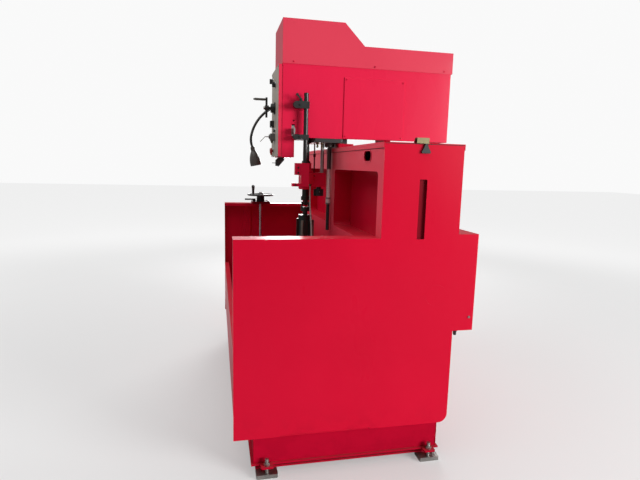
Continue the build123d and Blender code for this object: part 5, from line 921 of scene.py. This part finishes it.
FLANGE_SCREWS = [
    ((PIPE_X + FLANGE_CIRCLE * cos(angle), PIPE_Y + FLANGE_CIRCLE * sin(angle), FLANGE_UNDER), (0, 0, -1))
    for angle in map(radians, FLANGE_TURNS)
]
screws("flange_screws", FLANGE_SCREWS, FLANGE_SCREW, zinc_lock, "machine", sides=12)
bands = [turned(ring(*BAND), (PIPE_X, PIPE_Y, z)) for z in BAND_ZS]
finished("pipe_bands", bands, zinc_lock, "machine")

# Coolant hose: a pale tube pushed into a brass ferrule in the crosshead's arm, which hangs down to a
# slim brass nozzle beside the hone.
HOSE_ROUTE = (
    (0.125, -0.194, 1.397),
    (0.125, -0.194, 1.300),
    (0.127, -0.189, 1.195),
    (0.125, -0.177, 1.095),
    (0.124, -0.179, 1.000),
)
HOSE_RADIUS, HOSE_LENGTH, FERRULE_Z = 0.00475, 0.398, 1.385
FERRULE = [
    (0.0052, 0.0004), (0.0085, 0.0004), (0.0085, -0.006), (0.0070, -0.008), (0.0070, -0.014), (0.0052, -0.014),
    (0.0052, 0.0004),
]
hose_plastic = moulded("hose_plastic", (0.56, 0.56, 0.52), 0.3, 0.4)
hose_curve = bpy.data.curves.new("coolant_tube", "CURVE")
hose_curve.dimensions = "3D"
hose_line = hose_curve.splines.new("NURBS")
hose_line.points.add(len(HOSE_ROUTE) - 1)
for point, spot in zip(hose_line.points, HOSE_ROUTE):
    point.co = (*spot, 1.0)
hose_line.order_u = 3
hose_line.use_endpoint_u = True
hose_line.resolution_u = 16
hose_curve.bevel_depth = HOSE_RADIUS
hose_curve.bevel_resolution = 6
hose_curve.use_fill_caps = True
hose_curve.materials.append(hose_plastic)
coolant_tube = shown("coolant_tube", hose_curve)
fixed(coolant_tube, "crosshead_body")
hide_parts("coolant_hose")
dress(dull_brass, "hose_nozzle")
ferrule = turned(FERRULE, (*HOSE_ROUTE[0][:2], FERRULE_Z), sides=24)
finished("hose_ferrule", [ferrule], dull_brass, "crosshead_body")

# Handwheel: a black cast wheel with a round rim, a dished web and a turned grip, held by a nut on a steel
# shaft that runs down to the table's gearbox. It replaces the plain disc of the solid.
WHEEL_SPOT, WHEEL_MIDDLE = (-0.940, -0.415), 1.2460
RIM_RADIUS, RIM_HALF, RIM_TURNS = 0.1040, 0.0070, [radians(-155 + 31 * i) for i in range(11)]
WEB_HALF, HUB_RADIUS, HUB_LOW, HUB_HIGH = 0.0028, 0.0330, -0.0238, 0.0158
GRIP_SPOT, GRIP_BASE, NUT_SINK = (-0.873, -0.482), 1.2490, 0.0002
WHEEL = [
    (0.0, HUB_LOW), (HUB_RADIUS - 0.002, HUB_LOW), (HUB_RADIUS, HUB_LOW + 0.002), (HUB_RADIUS - 0.003, -0.010),
    (0.045, -0.0045), (0.085, -WEB_HALF),
]
WHEEL += [(RIM_RADIUS + RIM_HALF * cos(angle), RIM_HALF * sin(angle)) for angle in RIM_TURNS]
WHEEL += [(0.085, WEB_HALF), (0.045, 0.0015), (0.028, 0.006), (0.024, 0.014), (0.022, HUB_HIGH), (0.0, HUB_HIGH)]
GRIP = [
    (0.0, 0.0), (0.0070, 0.0), (0.0070, 0.005), (0.0095, 0.006), (0.0105, 0.012), (0.0098, 0.024), (0.0108, 0.046),
    (0.0132, 0.066), (0.0132, 0.073), (0.0105, 0.079), (0.0060, 0.0815), (0.0, 0.082),
]
SHAFT = [
    (0.0, 0.534), (0.0110, 0.534), (0.0110, 1.114), (0.0130, 1.114), (0.0130, 1.158), (0.0110, 1.158),
    (0.0110, 1.2222), (0.0, 1.2222),
]
NUT = [(0.0, 0.0), (0.0120, 0.0), (0.0120, 0.007), (0.0105, 0.008), (0.0, 0.008)]

wheel_black = sheet_paint(
    "wheel_black", (0.022, 0.021, 0.020), (0.015, 0.014, 0.014),
    rough=0.36, coat=0.25, dust=0.04, low_darkening=0.0, peel=0.7, gloss=0.45,
)
wheel_shapes = [turned(WHEEL, (*WHEEL_SPOT, WHEEL_MIDDLE), sides=72), turned(GRIP, (*GRIP_SPOT, GRIP_BASE), sides=28)]
handwheel_casting = finished("handwheel_casting", wheel_shapes, wheel_black, "handwheel_body")
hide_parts("handwheel")
shaft = turned(SHAFT, (*WHEEL_SPOT, 0.0), sides=32)
finished("handwheel_shaft", [shaft], ground_steel, "handwheel_body")
hexagon = turned(NUT, (*WHEEL_SPOT, WHEEL_MIDDLE + HUB_HIGH - NUT_SINK), sides=6)
finished("handwheel_nut", [hexagon], zinc_lock, "handwheel_body")

# Bracket of the handwheel: a red casting bolted to the left panel's rim, with its bearing hub left in
# black primer, and a black lever beside it that clamps the shaft.
BRACKET_EDGE, BRACKET_SCREW, PRIMER_BLACK, PRIMER_Z = 0.0018, (0.0065, 0.0070), (0.020, 0.018, 0.018), (1.1900, 1.1904)
BRACKET_XS, BRACKET_YS, BRACKET_TOP = (-1.042, -0.916), (-0.470, -0.352), 1.190


def bracket_hub(place, _):
    """The bracket's bearing hub above its plate, left in the black primer."""
    return place.axis(2).step(*PRIMER_Z)


bracket_red = sheet_paint(
    "bracket_red", (0.170, 0.0040, 0.0110), (0.120, 0.0030, 0.0080),
    rough=0.42, dust=0.05, low_darkening=0.0, peel=1.4, others=((PRIMER_BLACK, bracket_hub),),
)
dress(bracket_red, "handwheel_bracket", fold=BRACKET_EDGE)
dress(black_enamel, "clamp_lever")
BRACKET_SCREWS = [((x, y, BRACKET_TOP), (0, 0, 1)) for x in BRACKET_XS for y in BRACKET_YS]
screws("bracket_screws", BRACKET_SCREWS, BRACKET_SCREW, blackened_steel, "machine")

# Table drive in the tank: grey iron gearbox and bed, a ground T-slot table, and a screw whose thread is
# wound over its core.
SCREW_ENDS, SCREW_Y, SCREW_Z = (-0.925, 0.900), -0.415, 0.520
SCREW_CORE, SCREW_CREST, SCREW_PITCH, SCREW_RIDGE, THREAD_INSET = 0.0104, 0.0109, 0.0060, 0.0011, 0.001
CORE = [(0.0, SCREW_ENDS[0]), (SCREW_CORE, SCREW_ENDS[0]), (SCREW_CORE, SCREW_ENDS[1]), (0.0, SCREW_ENDS[1])]
TABLE_EDGE = 0.0010

grey_iron = sheet_paint(
    "grey_iron", (0.170, 0.180, 0.185), (0.130, 0.138, 0.142),
    rough=0.46, coat=0.05, dust=0.25, low_darkening=0.3, peel=0.9, gloss=0.3,
)
dress(grey_iron, "screw_gearbox", "table_bed", fold=CAST_EDGE)
table_iron = metal("table_iron", (0.34, 0.345, 0.35), 0.36, brushed=(0.2, 6.0, 6.0), stain=0.35)
dress(table_iron, "work_table", fold=TABLE_EDGE)
core = turned(CORE, (0.0, SCREW_Y, SCREW_Z), TO_RIGHT, 24)
screw_core = finished("screw_core", [core], ground_steel, "screw")
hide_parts("lead_screw")
thread(
    "screw_thread",
    [(SCREW_ENDS[0] + THREAD_INSET, SCREW_Y, SCREW_Z)],
    SCREW_CREST,
    SCREW_PITCH,
    SCREW_ENDS[1] - SCREW_ENDS[0] - 2 * THREAD_INSET,
    ground_steel,
    "screw",
    ridge=SCREW_RIDGE,
    axis=TO_RIGHT,
    steps=16,
)
